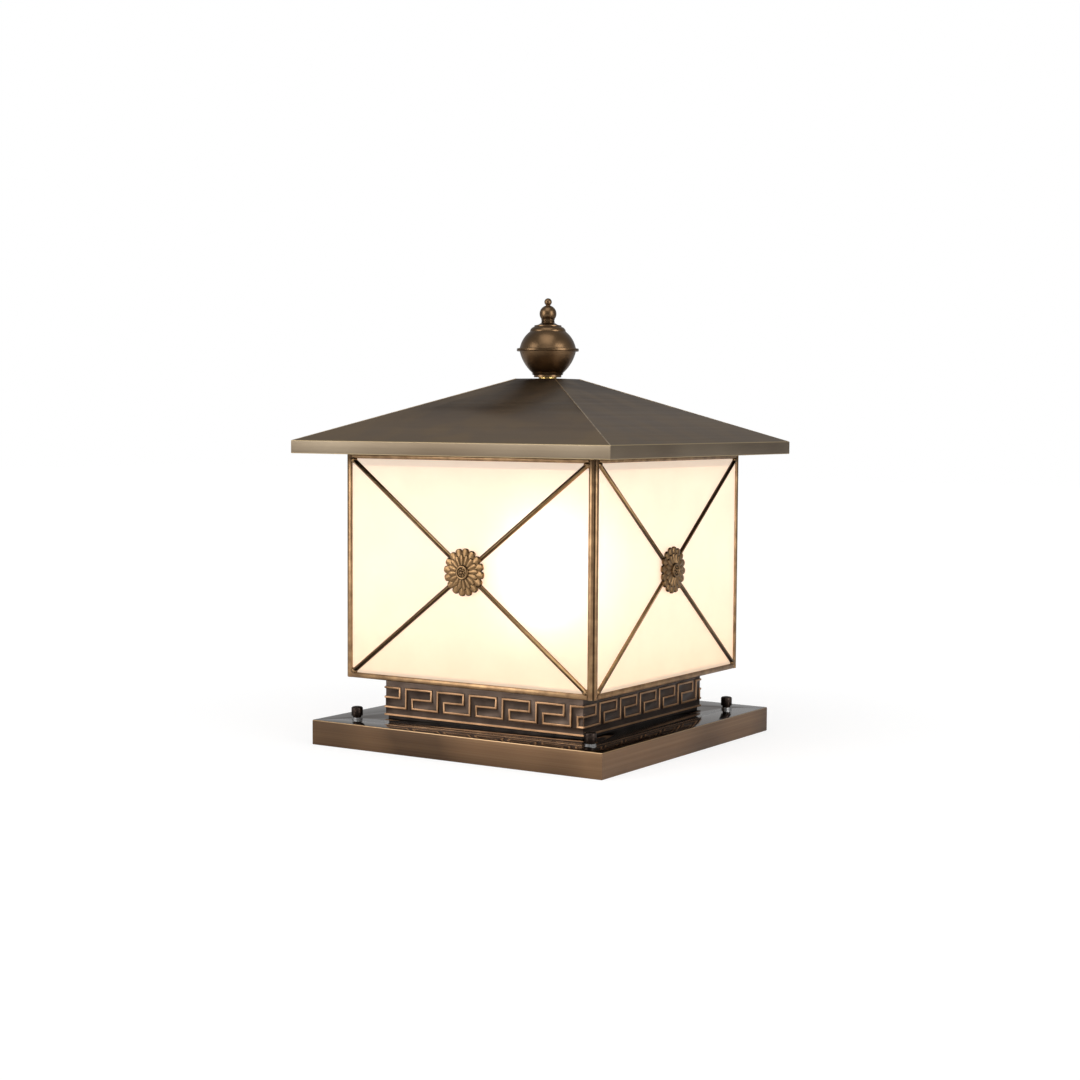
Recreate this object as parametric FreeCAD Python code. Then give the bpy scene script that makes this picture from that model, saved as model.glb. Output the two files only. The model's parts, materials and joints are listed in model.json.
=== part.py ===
"""Square post-top lantern with a hipped roof, glazed sides and a Greek-key plinth.

Frame: origin at the centre of the footprint, +Z up, +X to the right of the
front side, the front side facing -Y. All lengths are millimetres.
"""
import FreeCAD, Part
import math
import os
from FreeCAD import Vector

# --- base: mounting plate and folded cover ---------------------------------
BASE_SIDE = 276.0
BASE_HEIGHT = 20.4
COVER_WALL = 1.2
PLATE_GAP = 10.0
PLATE_THICKNESS = 3.0
ANCHOR_SPACING = 90.0
ANCHOR_HOLE_R = 3.5
CABLE_HOLE_R = 20.0

# --- cable grommet in the top of the cover ---------------------------------
GROMMET_BORE_R = 6.0
GROMMET_WALL = 2.5
GROMMET_LIP = 3.0
GROMMET_LIP_HEIGHT = 2.4

# --- studs of the plate and the thumb nuts that hold the cover -------------
STUD_INSET = 25.9
STUD_R = 2.5
STUD_REACH = 6.0
THREAD_GAP = 0.05
HOLE_GAP = 0.4
LOWER_NUT_FLATS = 8.0
LOWER_NUT_HEIGHT = 4.0
NUT_WASHER_R = 4.4
NUT_WASHER_HEIGHT = 1.0
THUMB_NECK_R = 3.5
THUMB_NECK_HEIGHT = 1.6
THUMB_HEAD_R = 4.75
THUMB_HEAD_HEIGHT = 6.2
THUMB_DOME_HEIGHT = 1.5
THUMB_CROWN_R = 3.0
THUMB_FLATS = 12
THUMB_BORE_SPARE = 0.8

# --- plinth with its Greek-key bands ---------------------------------------
PLINTH_SIDE = 192.4
PLINTH_HEIGHT = 34.8
PLINTH_WALL = 1.5
PLINTH_FLANGE = 12.0
BAND_GAP = 2.3
BAND_THICKNESS = 1.6
BAND_RELIEF = 0.9
BAND_LIP = 1.6
MEANDER_PITCH = 31.7
MEANDER_HEIGHT = 16.0
MEANDER_LIFT = 7.1
MEANDER_RIB = 1.7
# share of the pitch between a riser and the hook beside it
MEANDER_HOOK = 0.2
# share of one meander unit already past at the left end of each band
BAND_PHASE = {"front": 0.31, "right": 0.21, "back": 0.31, "left": 0.21}

# --- screws that hold the plinth, the floor, the bracket and the crossbar --
SCREW_R = 2.0
SCREW_FLATS = 7.0
SCREW_HEAD_HEIGHT = 2.6
SCREW_TAIL = 3.0

# --- lantern body -----------------------------------------------------------
BODY_SIDE = 237.8
BODY_HEIGHT = 183.2
POST_FACE = 6.4
POST_NOTCH = 1.8
FACE_DOME = 0.7
RAIL_WIDTH = 4.3
GLASS_LIP = 1.5
GLASS_THICKNESS = 2.5
GLASS_SEAT = 2.2
GLASS_EDGE_GAP = 0.3
FLOOR_THICKNESS = 1.5
FLOOR_FLANGE = 5.0
FLOOR_WIRE_HOLE_R = 5.0
RING_WALL = 1.2
RING_DROP = 10.0
RING_FLANGE = 12.0

# --- diagonal bars and rosettes ---------------------------------------------
BAR_WIDTH = 4.0
BAR_HEIGHT = 2.0
ROSETTE_R = 19.0
ROSETTE_FRONT_R = 15.6
ROSETTE_PETALS = 16
# shares of the radius at the notch between two petals and at the ridge's end
PETAL_NOTCH = 0.84
PETAL_RIDGE = 0.88
# share of a petal's width that its blunt tip takes
PETAL_TIP = 0.44
ROSETTE_BASE = 1.0
ROSETTE_PETAL_RISE = 1.1
ROSETTE_LAYER_STEP = 1.2
ROSETTE_BOSS_R = 4.7
ROSETTE_BOSS_RISE = 1.2
ROSETTE_BUD_R = 2.9

# --- crossbar, threaded stud and its nuts ------------------------------------
CROSSBAR_WIDTH = 20.0
CROSSBAR_THICKNESS = 2.5
CROSSBAR_END_GAP = 0.5
FINIAL_STUD_R = 3.0
FINIAL_STUD_TAIL = 6.5
LOCK_NUT_FLATS = 10.0
LOCK_NUT_HEIGHT = 5.0

# --- roof ----------------------------------------------------------------------
ROOF_SIDE = 300.0
ROOF_WALL = 1.2
FASCIA_HEIGHT = 10.4
FASCIA_OVERLAP = 0.3
ROOF_RISE = 51.5
PLATEAU_SIDE = 37.8
SEAL_THICKNESS = 2.0
SEAL_WIDTH = 8.0
SEAL_INSET = 1.5
ROOF_STUD_HOLE_R = 3.5
BACKING_R = 14.0
BACKING_THICKNESS = 2.0

# --- finial ----------------------------------------------------------------------
FINIAL_WASHER_R = 7.5
FINIAL_WASHER_HEIGHT = 1.3
FOOT_R = 11.5
FOOT_HEIGHT = 1.9
FOOT_BEAD_R = 12.9
FOOT_BEAD_HEIGHT = 1.9
BOWL_LOW_R = 13.3
BOWL_HIGH_R = 23.3
LOWER_BOWL_HEIGHT = 17.6
BOWL_BULGE = 1.5
RIM_R = 25.7
RIM_HEIGHT = 1.2
UPPER_BOWL_HEIGHT = 14.2
COLLAR_R = 14.8
COLLAR_HEIGHT = 4.8
COLLAR_TOP_R = 11.2
KNOB_FLARE_HEIGHT = 1.8
KNOB_RING_R = 5.6
KNOB_RING_HEIGHT = 3.6
KNOB_BALL_R = 7.0
KNOB_NECK_R = 1.9
KNOB_NECK_HEIGHT = 0.5
KNOB_TIP_R = 3.1
KNOB_SPIGOT_R = 5.0
KNOB_SPIGOT = 4.0
KNOB_BORE_DEPTH = 5.0
STUD_TOP_GAP = 0.6

# --- lampholder and bulb -----------------------------------------------------
BRACKET_WIDTH = 24.0
BRACKET_WALL = 1.5
BRACKET_DECK = 36.0
BRACKET_FOOT = 12.0
BRACKET_HEIGHT = 12.0
HOLDER_BASE_R = 17.0
HOLDER_TOP_R = 20.0
HOLDER_HEIGHT = 32.0
HOLDER_CHAMFER = 4.0
SHELL_R = 14.4
SHELL_WALL = 0.5
SHELL_HEIGHT = 23.0
SHELL_SEAT = 8.0
CONTACT_R = 4.0
CONTACT_HEIGHT = 2.0
CONTACT_GAP = 0.3
CAP_R = 13.2
CAP_HEIGHT = 22.0
CAP_TIP_R = 5.0
CAP_TIP_HEIGHT = 3.0
GLOBE_R = 22.0
GLOBE_NECK_R = 13.8
GLOBE_LENGTH = 84.0
GLOBE_SHOULDER = 8.0
GLOBE_DOME = 9.0
GLOBE_DOME_BULGE = 3.0

# --- mains terminal and earth screw inside the plinth ------------------------
TERMINAL_SIZE = (18.0, 32.0, 14.0)
TERMINAL_OFFSET = 45.0
TERMINAL_POLES = 3
TERMINAL_POLE_R = 2.2
EARTH_OFFSET = -45.0

# --- levels and half sizes worked out from the values above --------------------
HALF_BASE = BASE_SIDE / 2
HALF_PLATE = HALF_BASE - COVER_WALL - PLATE_GAP
COVER_UNDERSIDE = BASE_HEIGHT - COVER_WALL
STUD_PLACE = HALF_BASE - STUD_INSET
THUMB_BOTTOM = BASE_HEIGHT + NUT_WASHER_HEIGHT
STUD_TOP = THUMB_BOTTOM + STUD_REACH
HALF_PLINTH = PLINTH_SIDE / 2
HALF_CORE = HALF_PLINTH - BAND_RELIEF - BAND_THICKNESS
BODY_BOTTOM = BASE_HEIGHT + PLINTH_HEIGHT
BODY_TOP = BODY_BOTTOM + BODY_HEIGHT
HALF_BODY = BODY_SIDE / 2
GLASS_BACK = GLASS_LIP + GLASS_THICKNESS
HALF_INSIDE = HALF_BODY - GLASS_BACK
FLOOR_TOP = BODY_BOTTOM + FLOOR_THICKNESS
OPENING_HALF = HALF_BODY - POST_FACE
OPENING_LOW = BODY_BOTTOM + RAIL_WIDTH
OPENING_HIGH = BODY_TOP - RAIL_WIDTH
OPENING_MIDDLE = (OPENING_LOW + OPENING_HIGH) / 2
RING_UNDERSIDE = BODY_TOP - RING_WALL
CROSSBAR_BOTTOM = RING_UNDERSIDE - CROSSBAR_THICKNESS
FASCIA_BOTTOM = BODY_TOP - FASCIA_OVERLAP
EAVE = FASCIA_BOTTOM + FASCIA_HEIGHT
ROOF_TOP = EAVE + ROOF_RISE
SOFFIT_BOTTOM = BODY_TOP + SEAL_THICKNESS
HALF_ROOF = ROOF_SIDE / 2
HALF_PLATEAU = PLATEAU_SIDE / 2
ROOF_SLOPE = math.atan2(ROOF_RISE, HALF_ROOF - HALF_PLATEAU)
FINIAL_BASE = ROOF_TOP + FINIAL_WASHER_HEIGHT
BOWL_BOTTOM = FINIAL_BASE + FOOT_HEIGHT + FOOT_BEAD_HEIGHT
RIM_MIDDLE = BOWL_BOTTOM + LOWER_BOWL_HEIGHT + RIM_HEIGHT
COLLAR_BOTTOM = RIM_MIDDLE + RIM_HEIGHT + UPPER_BOWL_HEIGHT
KNOB_BOTTOM = COLLAR_BOTTOM + COLLAR_HEIGHT
FINIAL_STUD_TOP = KNOB_BOTTOM + KNOB_BORE_DEPTH - STUD_TOP_GAP
DECK_TOP = FLOOR_TOP + BRACKET_HEIGHT
CAP_BOTTOM = DECK_TOP + SHELL_SEAT + CONTACT_HEIGHT + CONTACT_GAP

# quarter turns that carry a part of the front side to each side
SIDES = {"front": 0, "right": 90, "back": 180, "left": 270}
CORNERS = {"front_right": 0, "back_right": 90, "back_left": 180, "front_left": 270}
UP = Vector(0, 0, 1)
ORIGIN = Vector(0, 0, 0)
CUT_SPARE = 1.0
# straight steps along each bowed or round outline of a turned part
BOW_STEPS = 4
ROUND_STEPS = 6
# flats round a turned part, and round a small rod or hole
TURNED_FLATS = 24
ROD_FLATS = 12


# --- small helpers -------------------------------------------------------------

def block(x, y, z):
    """Box from three (low, high) pairs."""
    corner = Vector(x[0], y[0], z[0])
    return Part.makeBox(x[1] - x[0], y[1] - y[0], z[1] - z[0], corner)


def square_block(half, z):
    """Square box centred on the axis."""
    return block((-half, half), (-half, half), z)


def disc(radius, z, x=0.0, y=0.0):
    """Upright cylinder between two levels."""
    return Part.makeCylinder(radius, z[1] - z[0], Vector(x, y, z[0]))


def rod(radius, z, x=0.0, y=0.0):
    """Small round bar, or the cutter of a small round hole, as a prism of narrow flats."""
    return regular_prism(ROD_FLATS, radius, z, x, y)


def turned(shape, degrees):
    """Copy of a shape turned about the vertical axis."""
    copy = shape.copy()
    copy.rotate(ORIGIN, UP, degrees)
    return copy


def prism(points, direction):
    """Closed outline of points pushed along a direction."""
    outline = Part.makePolygon(points + [points[0]])
    return Part.Face(outline).extrude(direction)


def revolved(profile):
    """Closed outline of (radius, level) points, turned about the vertical axis in narrow flats."""
    turn = 2 * math.pi / TURNED_FLATS
    rings = [[Vector(radius * math.cos(turn * k), radius * math.sin(turn * k), level)
              for k in range(TURNED_FLATS)] for radius, level in profile]
    flats = []
    for (low, high), start, end in zip(zip(rings, rings[1:] + rings[:1]), profile,
                                       profile[1:] + profile[:1]):
        for k in range(TURNED_FLATS):
            corners = [low[k - 1], low[k]] if start[0] else [low[0]]
            corners += [high[k], high[k - 1]] if end[0] else [high[0]]
            if len(corners) > 2:
                flats.append(corners)
    return faceted(flats).removeSplitter()


def bowed(low, high, bulge, steps):
    """Points of a bow between two (radius, level) points, ends left out."""
    run, rise = high[0] - low[0], high[1] - low[1]
    length = math.hypot(run, rise)
    points = []
    for k in range(1, steps):
        share = k / steps
        push = 4 * bulge * share * (1 - share) / length
        points.append((low[0] + run * share + rise * push, low[1] + rise * share - run * push))
    return points


def ball(radius, middle, low_angle, high_angle, steps):
    """Points on a ball centred on the axis, between two angles above its equator."""
    points = []
    for k in range(steps + 1):
        angle = math.radians(low_angle + (high_angle - low_angle) * k / steps)
        points.append((radius * math.cos(angle), middle + radius * math.sin(angle)))
    return points


def faceted(faces):
    """Solid bounded by flat faces, each given as a list of corner points."""
    return Part.makeSolid(Part.makeShell([Part.Face(Part.makePolygon(list(f) + [f[0]])) for f in faces]))


def regular_prism(count, radius, z, x=0.0, y=0.0):
    """Upright prism on a regular polygon whose corners lie on a radius."""
    turn = 2 * math.pi / count
    points = [Vector(x + radius * math.cos(turn * k), y + radius * math.sin(turn * k), z[0])
              for k in range(count)]
    return prism(points, Vector(0, 0, z[1] - z[0]))


def hexagon(flats, z, x=0.0, y=0.0):
    """Upright hexagonal prism with the given width across its flats."""
    return regular_prism(6, flats / math.sqrt(3), z, x, y)


def mitred_sides(ring, half, z):
    """Four solids that a square ring makes when it is cut along its diagonals."""
    corners = [Vector(-half, -half, z[0]), Vector(half, -half, z[0]), Vector(0, 0, z[0])]
    sector = prism(corners, Vector(0, 0, z[1] - z[0]))
    return [ring.common(turned(sector, angle)).Solids[0] for angle in SIDES.values()]


def middle_places(spread):
    """Four (x, y) places on the middles of the sides of a centred square."""
    return [(0, -spread), (spread, 0), (0, spread), (-spread, 0)]


def square_places(spread):
    """Four (x, y) places on the corners of a centred square."""
    return [(spread * a, spread * b) for a, b in ((1, -1), (1, 1), (-1, 1), (-1, -1))]


def hex_screw(seat, tail, x, y, head_up=1):
    """Hexagon screw whose head sits at one level and whose shank ends at another."""
    crown = seat + head_up * SCREW_HEAD_HEIGHT
    head = hexagon(SCREW_FLATS, (min(seat, crown), max(seat, crown)), x, y)
    shank = rod(SCREW_R, (min(seat, tail), max(seat, tail)), x, y)
    return head.fuse(shank).removeSplitter()


def screw_hole(z, x, y):
    """Clearance hole for a screw."""
    return rod(SCREW_R + THREAD_GAP, (z[0] - CUT_SPARE, z[1] + CUT_SPARE), x, y)


# --- base ------------------------------------------------------------------------

def mounting_plate():
    plate = square_block(HALF_PLATE, (0, PLATE_THICKNESS))
    through = (-CUT_SPARE, PLATE_THICKNESS + CUT_SPARE)
    plate = plate.cut(regular_prism(TURNED_FLATS, CABLE_HOLE_R, through))
    for x, y in square_places(ANCHOR_SPACING / 2):
        plate = plate.cut(disc(ANCHOR_HOLE_R, through, x, y))
    return plate


def plate_studs():
    studs = [rod(STUD_R, (PLATE_THICKNESS, STUD_TOP), x, y) for x, y in square_places(STUD_PLACE)]
    return Part.makeCompound(studs)


def stud_lower_nuts():
    nuts = []
    level = (COVER_UNDERSIDE - LOWER_NUT_HEIGHT, COVER_UNDERSIDE)
    for x, y in square_places(STUD_PLACE):
        nut = hexagon(LOWER_NUT_FLATS, level, x, y)
        nuts.append(nut.cut(rod(STUD_R + THREAD_GAP, level, x, y)))
    return Part.makeCompound(nuts)


def base_cover():
    """Tray open below: a top sheet with its holes and four skirts soldered at mitred corners."""
    sheet = square_block(HALF_BASE, (COVER_UNDERSIDE, BASE_HEIGHT))
    through = (COVER_UNDERSIDE - CUT_SPARE, BASE_HEIGHT + CUT_SPARE)
    sheet = sheet.cut(disc(GROMMET_BORE_R + GROMMET_WALL, through))
    for x, y in square_places(STUD_PLACE):
        sheet = sheet.cut(rod(STUD_R + HOLE_GAP, through, x, y))
    for x, y in middle_places(plinth_screw_place()) + [(0, EARTH_OFFSET)]:
        sheet = sheet.cut(screw_hole(through, x, y))
    skirt = (0, COVER_UNDERSIDE)
    ring = square_block(HALF_BASE, skirt).cut(square_block(HALF_BASE - COVER_WALL, skirt))
    return Part.makeCompound([sheet] + mitred_sides(ring, HALF_BASE, skirt))


def cable_grommet():
    """Rubber ring with a lip on each side of the sheet."""
    waist = GROMMET_BORE_R + GROMMET_WALL
    lip = waist + GROMMET_LIP
    low = COVER_UNDERSIDE - GROMMET_LIP_HEIGHT
    high = BASE_HEIGHT + GROMMET_LIP_HEIGHT
    ring = revolved([(0, low), (lip, low), (lip, COVER_UNDERSIDE), (waist, COVER_UNDERSIDE),
                     (waist, BASE_HEIGHT), (lip, BASE_HEIGHT), (lip, high), (0, high)])
    return ring.cut(disc(GROMMET_BORE_R, (low, high)))


def thumb_nut_washers():
    level = (BASE_HEIGHT, THUMB_BOTTOM)
    rings = []
    for x, y in square_places(STUD_PLACE):
        ring = rod(NUT_WASHER_R, level, x, y)
        rings.append(ring.cut(rod(STUD_R + HOLE_GAP, level, x, y)))
    return Part.makeCompound(rings)


def thumb_nut():
    """Cap nut with a narrower neck, a head of grip flats, a bevelled crown and a blind bore."""
    neck_top = THUMB_BOTTOM + THUMB_NECK_HEIGHT
    head_top = neck_top + THUMB_HEAD_HEIGHT
    neck = rod(THUMB_NECK_R, (THUMB_BOTTOM, neck_top))
    head = regular_prism(THUMB_FLATS, THUMB_HEAD_R, (neck_top, head_top))
    rims = []
    for radius, level in ((THUMB_HEAD_R, head_top), (THUMB_CROWN_R, head_top + THUMB_DOME_HEIGHT)):
        turn = 2 * math.pi / THUMB_FLATS
        rims.append([Vector(radius * math.cos(turn * k), radius * math.sin(turn * k), level)
                     for k in range(THUMB_FLATS)])
    bevels = [(rims[0][k - 1], rims[0][k], rims[1][k], rims[1][k - 1]) for k in range(THUMB_FLATS)]
    nut = neck.fuse(head).fuse(faceted(bevels + rims)).removeSplitter()
    return nut.cut(disc(STUD_R + THREAD_GAP, (THUMB_BOTTOM, STUD_TOP + THUMB_BORE_SPARE)))


# --- plinth ----------------------------------------------------------------------

def plinth_screw_place():
    return HALF_CORE - PLINTH_WALL - PLINTH_FLANGE / 2


def plinth_core():
    """Square tube with an inward flange at each end, soldered from four mitred channels."""
    level = (BASE_HEIGHT, BODY_BOTTOM)
    tube = square_block(HALF_CORE, level)
    inner = HALF_CORE - PLINTH_WALL
    tube = tube.cut(square_block(inner, (level[0] + PLINTH_WALL, level[1] - PLINTH_WALL)))
    tube = tube.cut(square_block(inner - PLINTH_FLANGE, (level[0] - CUT_SPARE, level[1] + CUT_SPARE)))
    for x, y in middle_places(plinth_screw_place()):
        tube = tube.cut(screw_hole(level, x, y))
    return Part.makeCompound(mitred_sides(tube, HALF_CORE, level))


def meander_path(units, start):
    """Centre line of the key pattern: riser, top run, hook back, bottom run."""
    points = []
    hook = MEANDER_HOOK
    for unit in range(units):
        left = start + unit * MEANDER_PITCH
        for share, level in ((0, 0), (0, 1), (1 - hook, 1), (1 - hook, 0.5), (hook, 0.5), (hook, 0)):
            points.append((left + share * MEANDER_PITCH, level * MEANDER_HEIGHT))
    return points


def ribbon(path, width):
    """Both edges of a ribbon along a path of square turns, as one outline."""
    near, far = [], []
    last = len(path) - 1
    for k, (x, z) in enumerate(path):
        sides = []
        for a, b in ((k - 1, k), (k, k + 1)):
            if 0 <= a and b <= last:
                dx, dz = path[b][0] - path[a][0], path[b][1] - path[a][1]
                run = math.hypot(dx, dz)
                sides.append((-dz / run, dx / run))
        shift_x = sum(s[0] for s in sides) * width / 2
        shift_z = sum(s[1] for s in sides) * width / 2
        near.append((x + shift_x, z + shift_z))
        far.append((x - shift_x, z - shift_z))
    return near + far[::-1]


def meander_band(phase):
    """Front strip: sheet, a lip along each long edge and the raised key pattern."""
    face = -HALF_PLINTH
    field = face + BAND_RELIEF
    back = field + BAND_THICKNESS
    low = BASE_HEIGHT + BAND_GAP
    wide = (-HALF_PLINTH, HALF_PLINTH)
    strip = block(wide, (field, back), (low, BODY_BOTTOM))
    strip = strip.fuse(block(wide, (face, field), (low, low + BAND_LIP)))
    strip = strip.fuse(block(wide, (face, field), (BODY_BOTTOM - BAND_LIP, BODY_BOTTOM)))
    start = -HALF_PLINTH - phase * MEANDER_PITCH
    units = math.ceil(PLINTH_SIDE / MEANDER_PITCH) + 1
    outline = ribbon(meander_path(units, start), MEANDER_RIB)
    points = [Vector(x, face, low + MEANDER_LIFT + z) for x, z in outline]
    strip = strip.fuse(prism(points, Vector(0, BAND_RELIEF, 0)))
    mitre = prism([Vector(-HALF_PLINTH, face, low), Vector(HALF_PLINTH, face, low),
                   Vector(-back, back, low), Vector(back, back, low)],
                  Vector(0, 0, BODY_BOTTOM - low))
    return strip.common(mitre).removeSplitter()


def plinth_screws():
    seat = BASE_HEIGHT + PLINTH_WALL
    tail = COVER_UNDERSIDE - SCREW_TAIL
    return Part.makeCompound([hex_screw(seat, tail, x, y) for x, y in middle_places(plinth_screw_place())])


def terminal_block():
    """Mains terminal on the cover, with a clamp bore for each pole."""
    wide, long, tall = TERMINAL_SIZE
    body = block((TERMINAL_OFFSET - wide / 2, TERMINAL_OFFSET + wide / 2), (-long / 2, long / 2),
                 (BASE_HEIGHT, BASE_HEIGHT + tall))
    pitch = long / TERMINAL_POLES
    for pole in range(TERMINAL_POLES):
        y = (pole + 0.5) * pitch - long / 2
        bore = rod(TERMINAL_POLE_R, (0, wide))
        bore.rotate(ORIGIN, Vector(0, 1, 0), 90)
        bore.translate(Vector(TERMINAL_OFFSET - wide / 2, y, BASE_HEIGHT + tall / 2))
        body = body.cut(bore)
    return body


def earth_screw():
    return hex_screw(BASE_HEIGHT, COVER_UNDERSIDE - SCREW_TAIL, 0, EARTH_OFFSET)


# --- lantern body ------------------------------------------------------------------

def bracket_screw_place():
    return BRACKET_DECK / 2 + BRACKET_FOOT / 2


def body_floor():
    """Sheet floor with a low upturned flange behind the glass."""
    floor = square_block(HALF_INSIDE, (BODY_BOTTOM, FLOOR_TOP + FLOOR_FLANGE))
    floor = floor.cut(square_block(HALF_INSIDE - FLOOR_THICKNESS,
                                   (FLOOR_TOP, FLOOR_TOP + FLOOR_FLANGE + CUT_SPARE)))
    level = (BODY_BOTTOM, FLOOR_TOP)
    floor = floor.cut(rod(FLOOR_WIRE_HOLE_R, (level[0] - CUT_SPARE, level[1] + CUT_SPARE)))
    for x, y in middle_places(plinth_screw_place()):
        floor = floor.cut(screw_hole(level, x, y))
    for x in (-bracket_screw_place(), bracket_screw_place()):
        floor = floor.cut(screw_hole(level, x, 0))
    return floor


def floor_screws():
    """Screws down into the plinth flange, and two that hold the lamp bracket."""
    flange_under = BODY_BOTTOM - PLINTH_WALL
    screws = [hex_screw(FLOOR_TOP, flange_under - SCREW_TAIL, x, y)
              for x, y in middle_places(plinth_screw_place())]
    for x in (-bracket_screw_place(), bracket_screw_place()):
        screws.append(hex_screw(FLOOR_TOP + BRACKET_WALL, BODY_BOTTOM - SCREW_TAIL, x, 0))
    return Part.makeCompound(screws)


def domed_edge(start, end, outward):
    """Shallow arc between two points, bulging by the dome height."""
    middle = (start + end) * 0.5 + outward * FACE_DOME
    return Part.Arc(start, middle, end).toShape()


def corner_post():
    """Front right post: two domed faces, a re-entrant groove and glass rebates."""
    def at(across, deep):
        return Vector(HALF_BODY - across, -HALF_BODY + deep, BODY_BOTTOM)

    def line(a, b):
        return Part.LineSegment(a, b).toShape()

    front = [at(POST_FACE, FACE_DOME), at(POST_NOTCH, FACE_DOME)]
    side = [at(FACE_DOME, POST_NOTCH), at(FACE_DOME, POST_FACE)]
    groove = at(POST_NOTCH, POST_NOTCH)
    edges = [domed_edge(front[0], front[1], Vector(0, -1, 0)), line(front[1], groove),
             line(groove, side[0]), domed_edge(side[0], side[1], Vector(1, 0, 0))]
    rebate = [side[1], at(GLASS_LIP, POST_FACE), at(GLASS_LIP, GLASS_BACK), at(GLASS_BACK, GLASS_BACK),
              at(GLASS_BACK, GLASS_LIP), at(POST_FACE, GLASS_LIP), front[0]]
    edges += [line(a, b) for a, b in zip(rebate, rebate[1:])]
    return Part.Face(Part.Wire(edges)).extrude(Vector(0, 0, BODY_HEIGHT))


def rail(level, upward):
    """Front rail between the posts; upward is 1 at the bottom and -1 at the top."""
    def at(up, deep):
        return Vector(-OPENING_HALF, -HALF_BODY + deep, level + upward * up)

    face = domed_edge(at(0, FACE_DOME), at(RAIL_WIDTH, FACE_DOME), Vector(0, -1, 0))
    back = [at(RAIL_WIDTH, FACE_DOME), at(RAIL_WIDTH, GLASS_LIP), at(GLASS_SEAT, GLASS_LIP),
            at(GLASS_SEAT, GLASS_BACK), at(0, GLASS_BACK), at(0, FACE_DOME)]
    edges = [face] + [Part.LineSegment(a, b).toShape() for a, b in zip(back, back[1:])]
    return Part.Face(Part.Wire(edges)).extrude(Vector(2 * OPENING_HALF, 0, 0))


def side_rails():
    return Part.makeCompound([rail(BODY_BOTTOM, 1), rail(BODY_TOP, -1)])


def glass_panel():
    half = HALF_BODY - GLASS_BACK - GLASS_EDGE_GAP
    return block((-half, half), (-HALF_BODY + GLASS_LIP, -HALF_BODY + GLASS_BACK),
                 (BODY_BOTTOM + GLASS_SEAT, BODY_TOP - GLASS_SEAT - GLASS_EDGE_GAP))


def half_round_bar(angle):
    """Half-round bar through the middle of the front glass, at an angle to level."""
    reach = math.hypot(OPENING_HALF, OPENING_HIGH - OPENING_MIDDLE)
    base = -HALF_BODY + GLASS_LIP
    low = Vector(-reach, base, -BAR_WIDTH / 2)
    high = Vector(-reach, base, BAR_WIDTH / 2)
    crest = Vector(-reach, base - BAR_HEIGHT, 0)
    section = Part.Wire([Part.Arc(low, crest, high).toShape(), Part.LineSegment(high, low).toShape()])
    bar = Part.Face(section).extrude(Vector(2 * reach, 0, 0))
    bar.rotate(ORIGIN, Vector(0, -1, 0), angle)
    bar.translate(Vector(0, 0, OPENING_MIDDLE))
    return bar


def lattice_bars():
    """One full diagonal and two halves that meet it, cut to the panel opening."""
    angle = math.degrees(math.atan2(OPENING_HIGH - OPENING_MIDDLE, OPENING_HALF))
    opening = block((-OPENING_HALF, OPENING_HALF), (-HALF_BODY - BAR_HEIGHT, -HALF_BODY + GLASS_LIP),
                    (OPENING_LOW, OPENING_HIGH))
    full = half_round_bar(angle).common(opening)
    halves = half_round_bar(-angle).common(opening).cut(full)
    return Part.makeCompound([full] + halves.Solids)


def petal_ring(radius, base, body, rise, turn):
    """Ring of ridged petals as one closed shell of flat facets, axis along +Z."""
    pitch = 2 * math.pi / ROSETTE_PETALS

    def at(share, angle, level):
        return Vector(radius * share * math.cos(angle), radius * share * math.sin(angle), level)

    rim = base + body
    crown = Vector(0, 0, rim + rise)
    facets = []
    outline = []
    for petal in range(ROSETTE_PETALS):
        middle = turn + petal * pitch
        half_tip = pitch * PETAL_TIP / 2
        edge = [at(PETAL_NOTCH, middle - pitch / 2, rim), at(1, middle - half_tip, rim),
                at(1, middle + half_tip, rim), at(PETAL_NOTCH, middle + pitch / 2, rim)]
        ridge = at(PETAL_RIDGE, middle, rim + rise)
        fan = [crown] + edge + [crown]
        facets += [(ridge, a, b) for a, b in zip(fan, fan[1:])]
        outline += edge[:-1]
    low = [Vector(p.x, p.y, base) for p in outline]
    count = len(outline)
    for k in range(count):
        after = (k + 1) % count
        facets.append((low[k], low[after], outline[after], outline[k]))
    return faceted(facets + [low])


def rosette():
    """Two rings of petals and a stepped button, standing on the crossing of the bars."""
    back = petal_ring(ROSETTE_R, 0, ROSETTE_BASE, ROSETTE_PETAL_RISE, 0)
    step = ROSETTE_LAYER_STEP
    front = petal_ring(ROSETTE_FRONT_R, ROSETTE_BASE / 2, ROSETTE_BASE / 2 + step, ROSETTE_PETAL_RISE,
                       math.pi / ROSETTE_PETALS)
    rim = ROSETTE_BASE + step + ROSETTE_PETAL_RISE + ROSETTE_BOSS_RISE
    boss = regular_prism(ROSETTE_PETALS, ROSETTE_BOSS_R, (ROSETTE_BASE, rim - ROSETTE_BOSS_RISE / 2))
    bud = regular_prism(ROSETTE_PETALS, ROSETTE_BUD_R, (ROSETTE_BASE, rim + ROSETTE_BOSS_RISE / 2))
    flower = back.fuse(front).fuse(boss).fuse(bud)
    flower.rotate(ORIGIN, Vector(1, 0, 0), 90)
    flower.translate(Vector(0, -HALF_BODY + GLASS_LIP - BAR_HEIGHT, OPENING_MIDDLE))
    return flower


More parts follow.
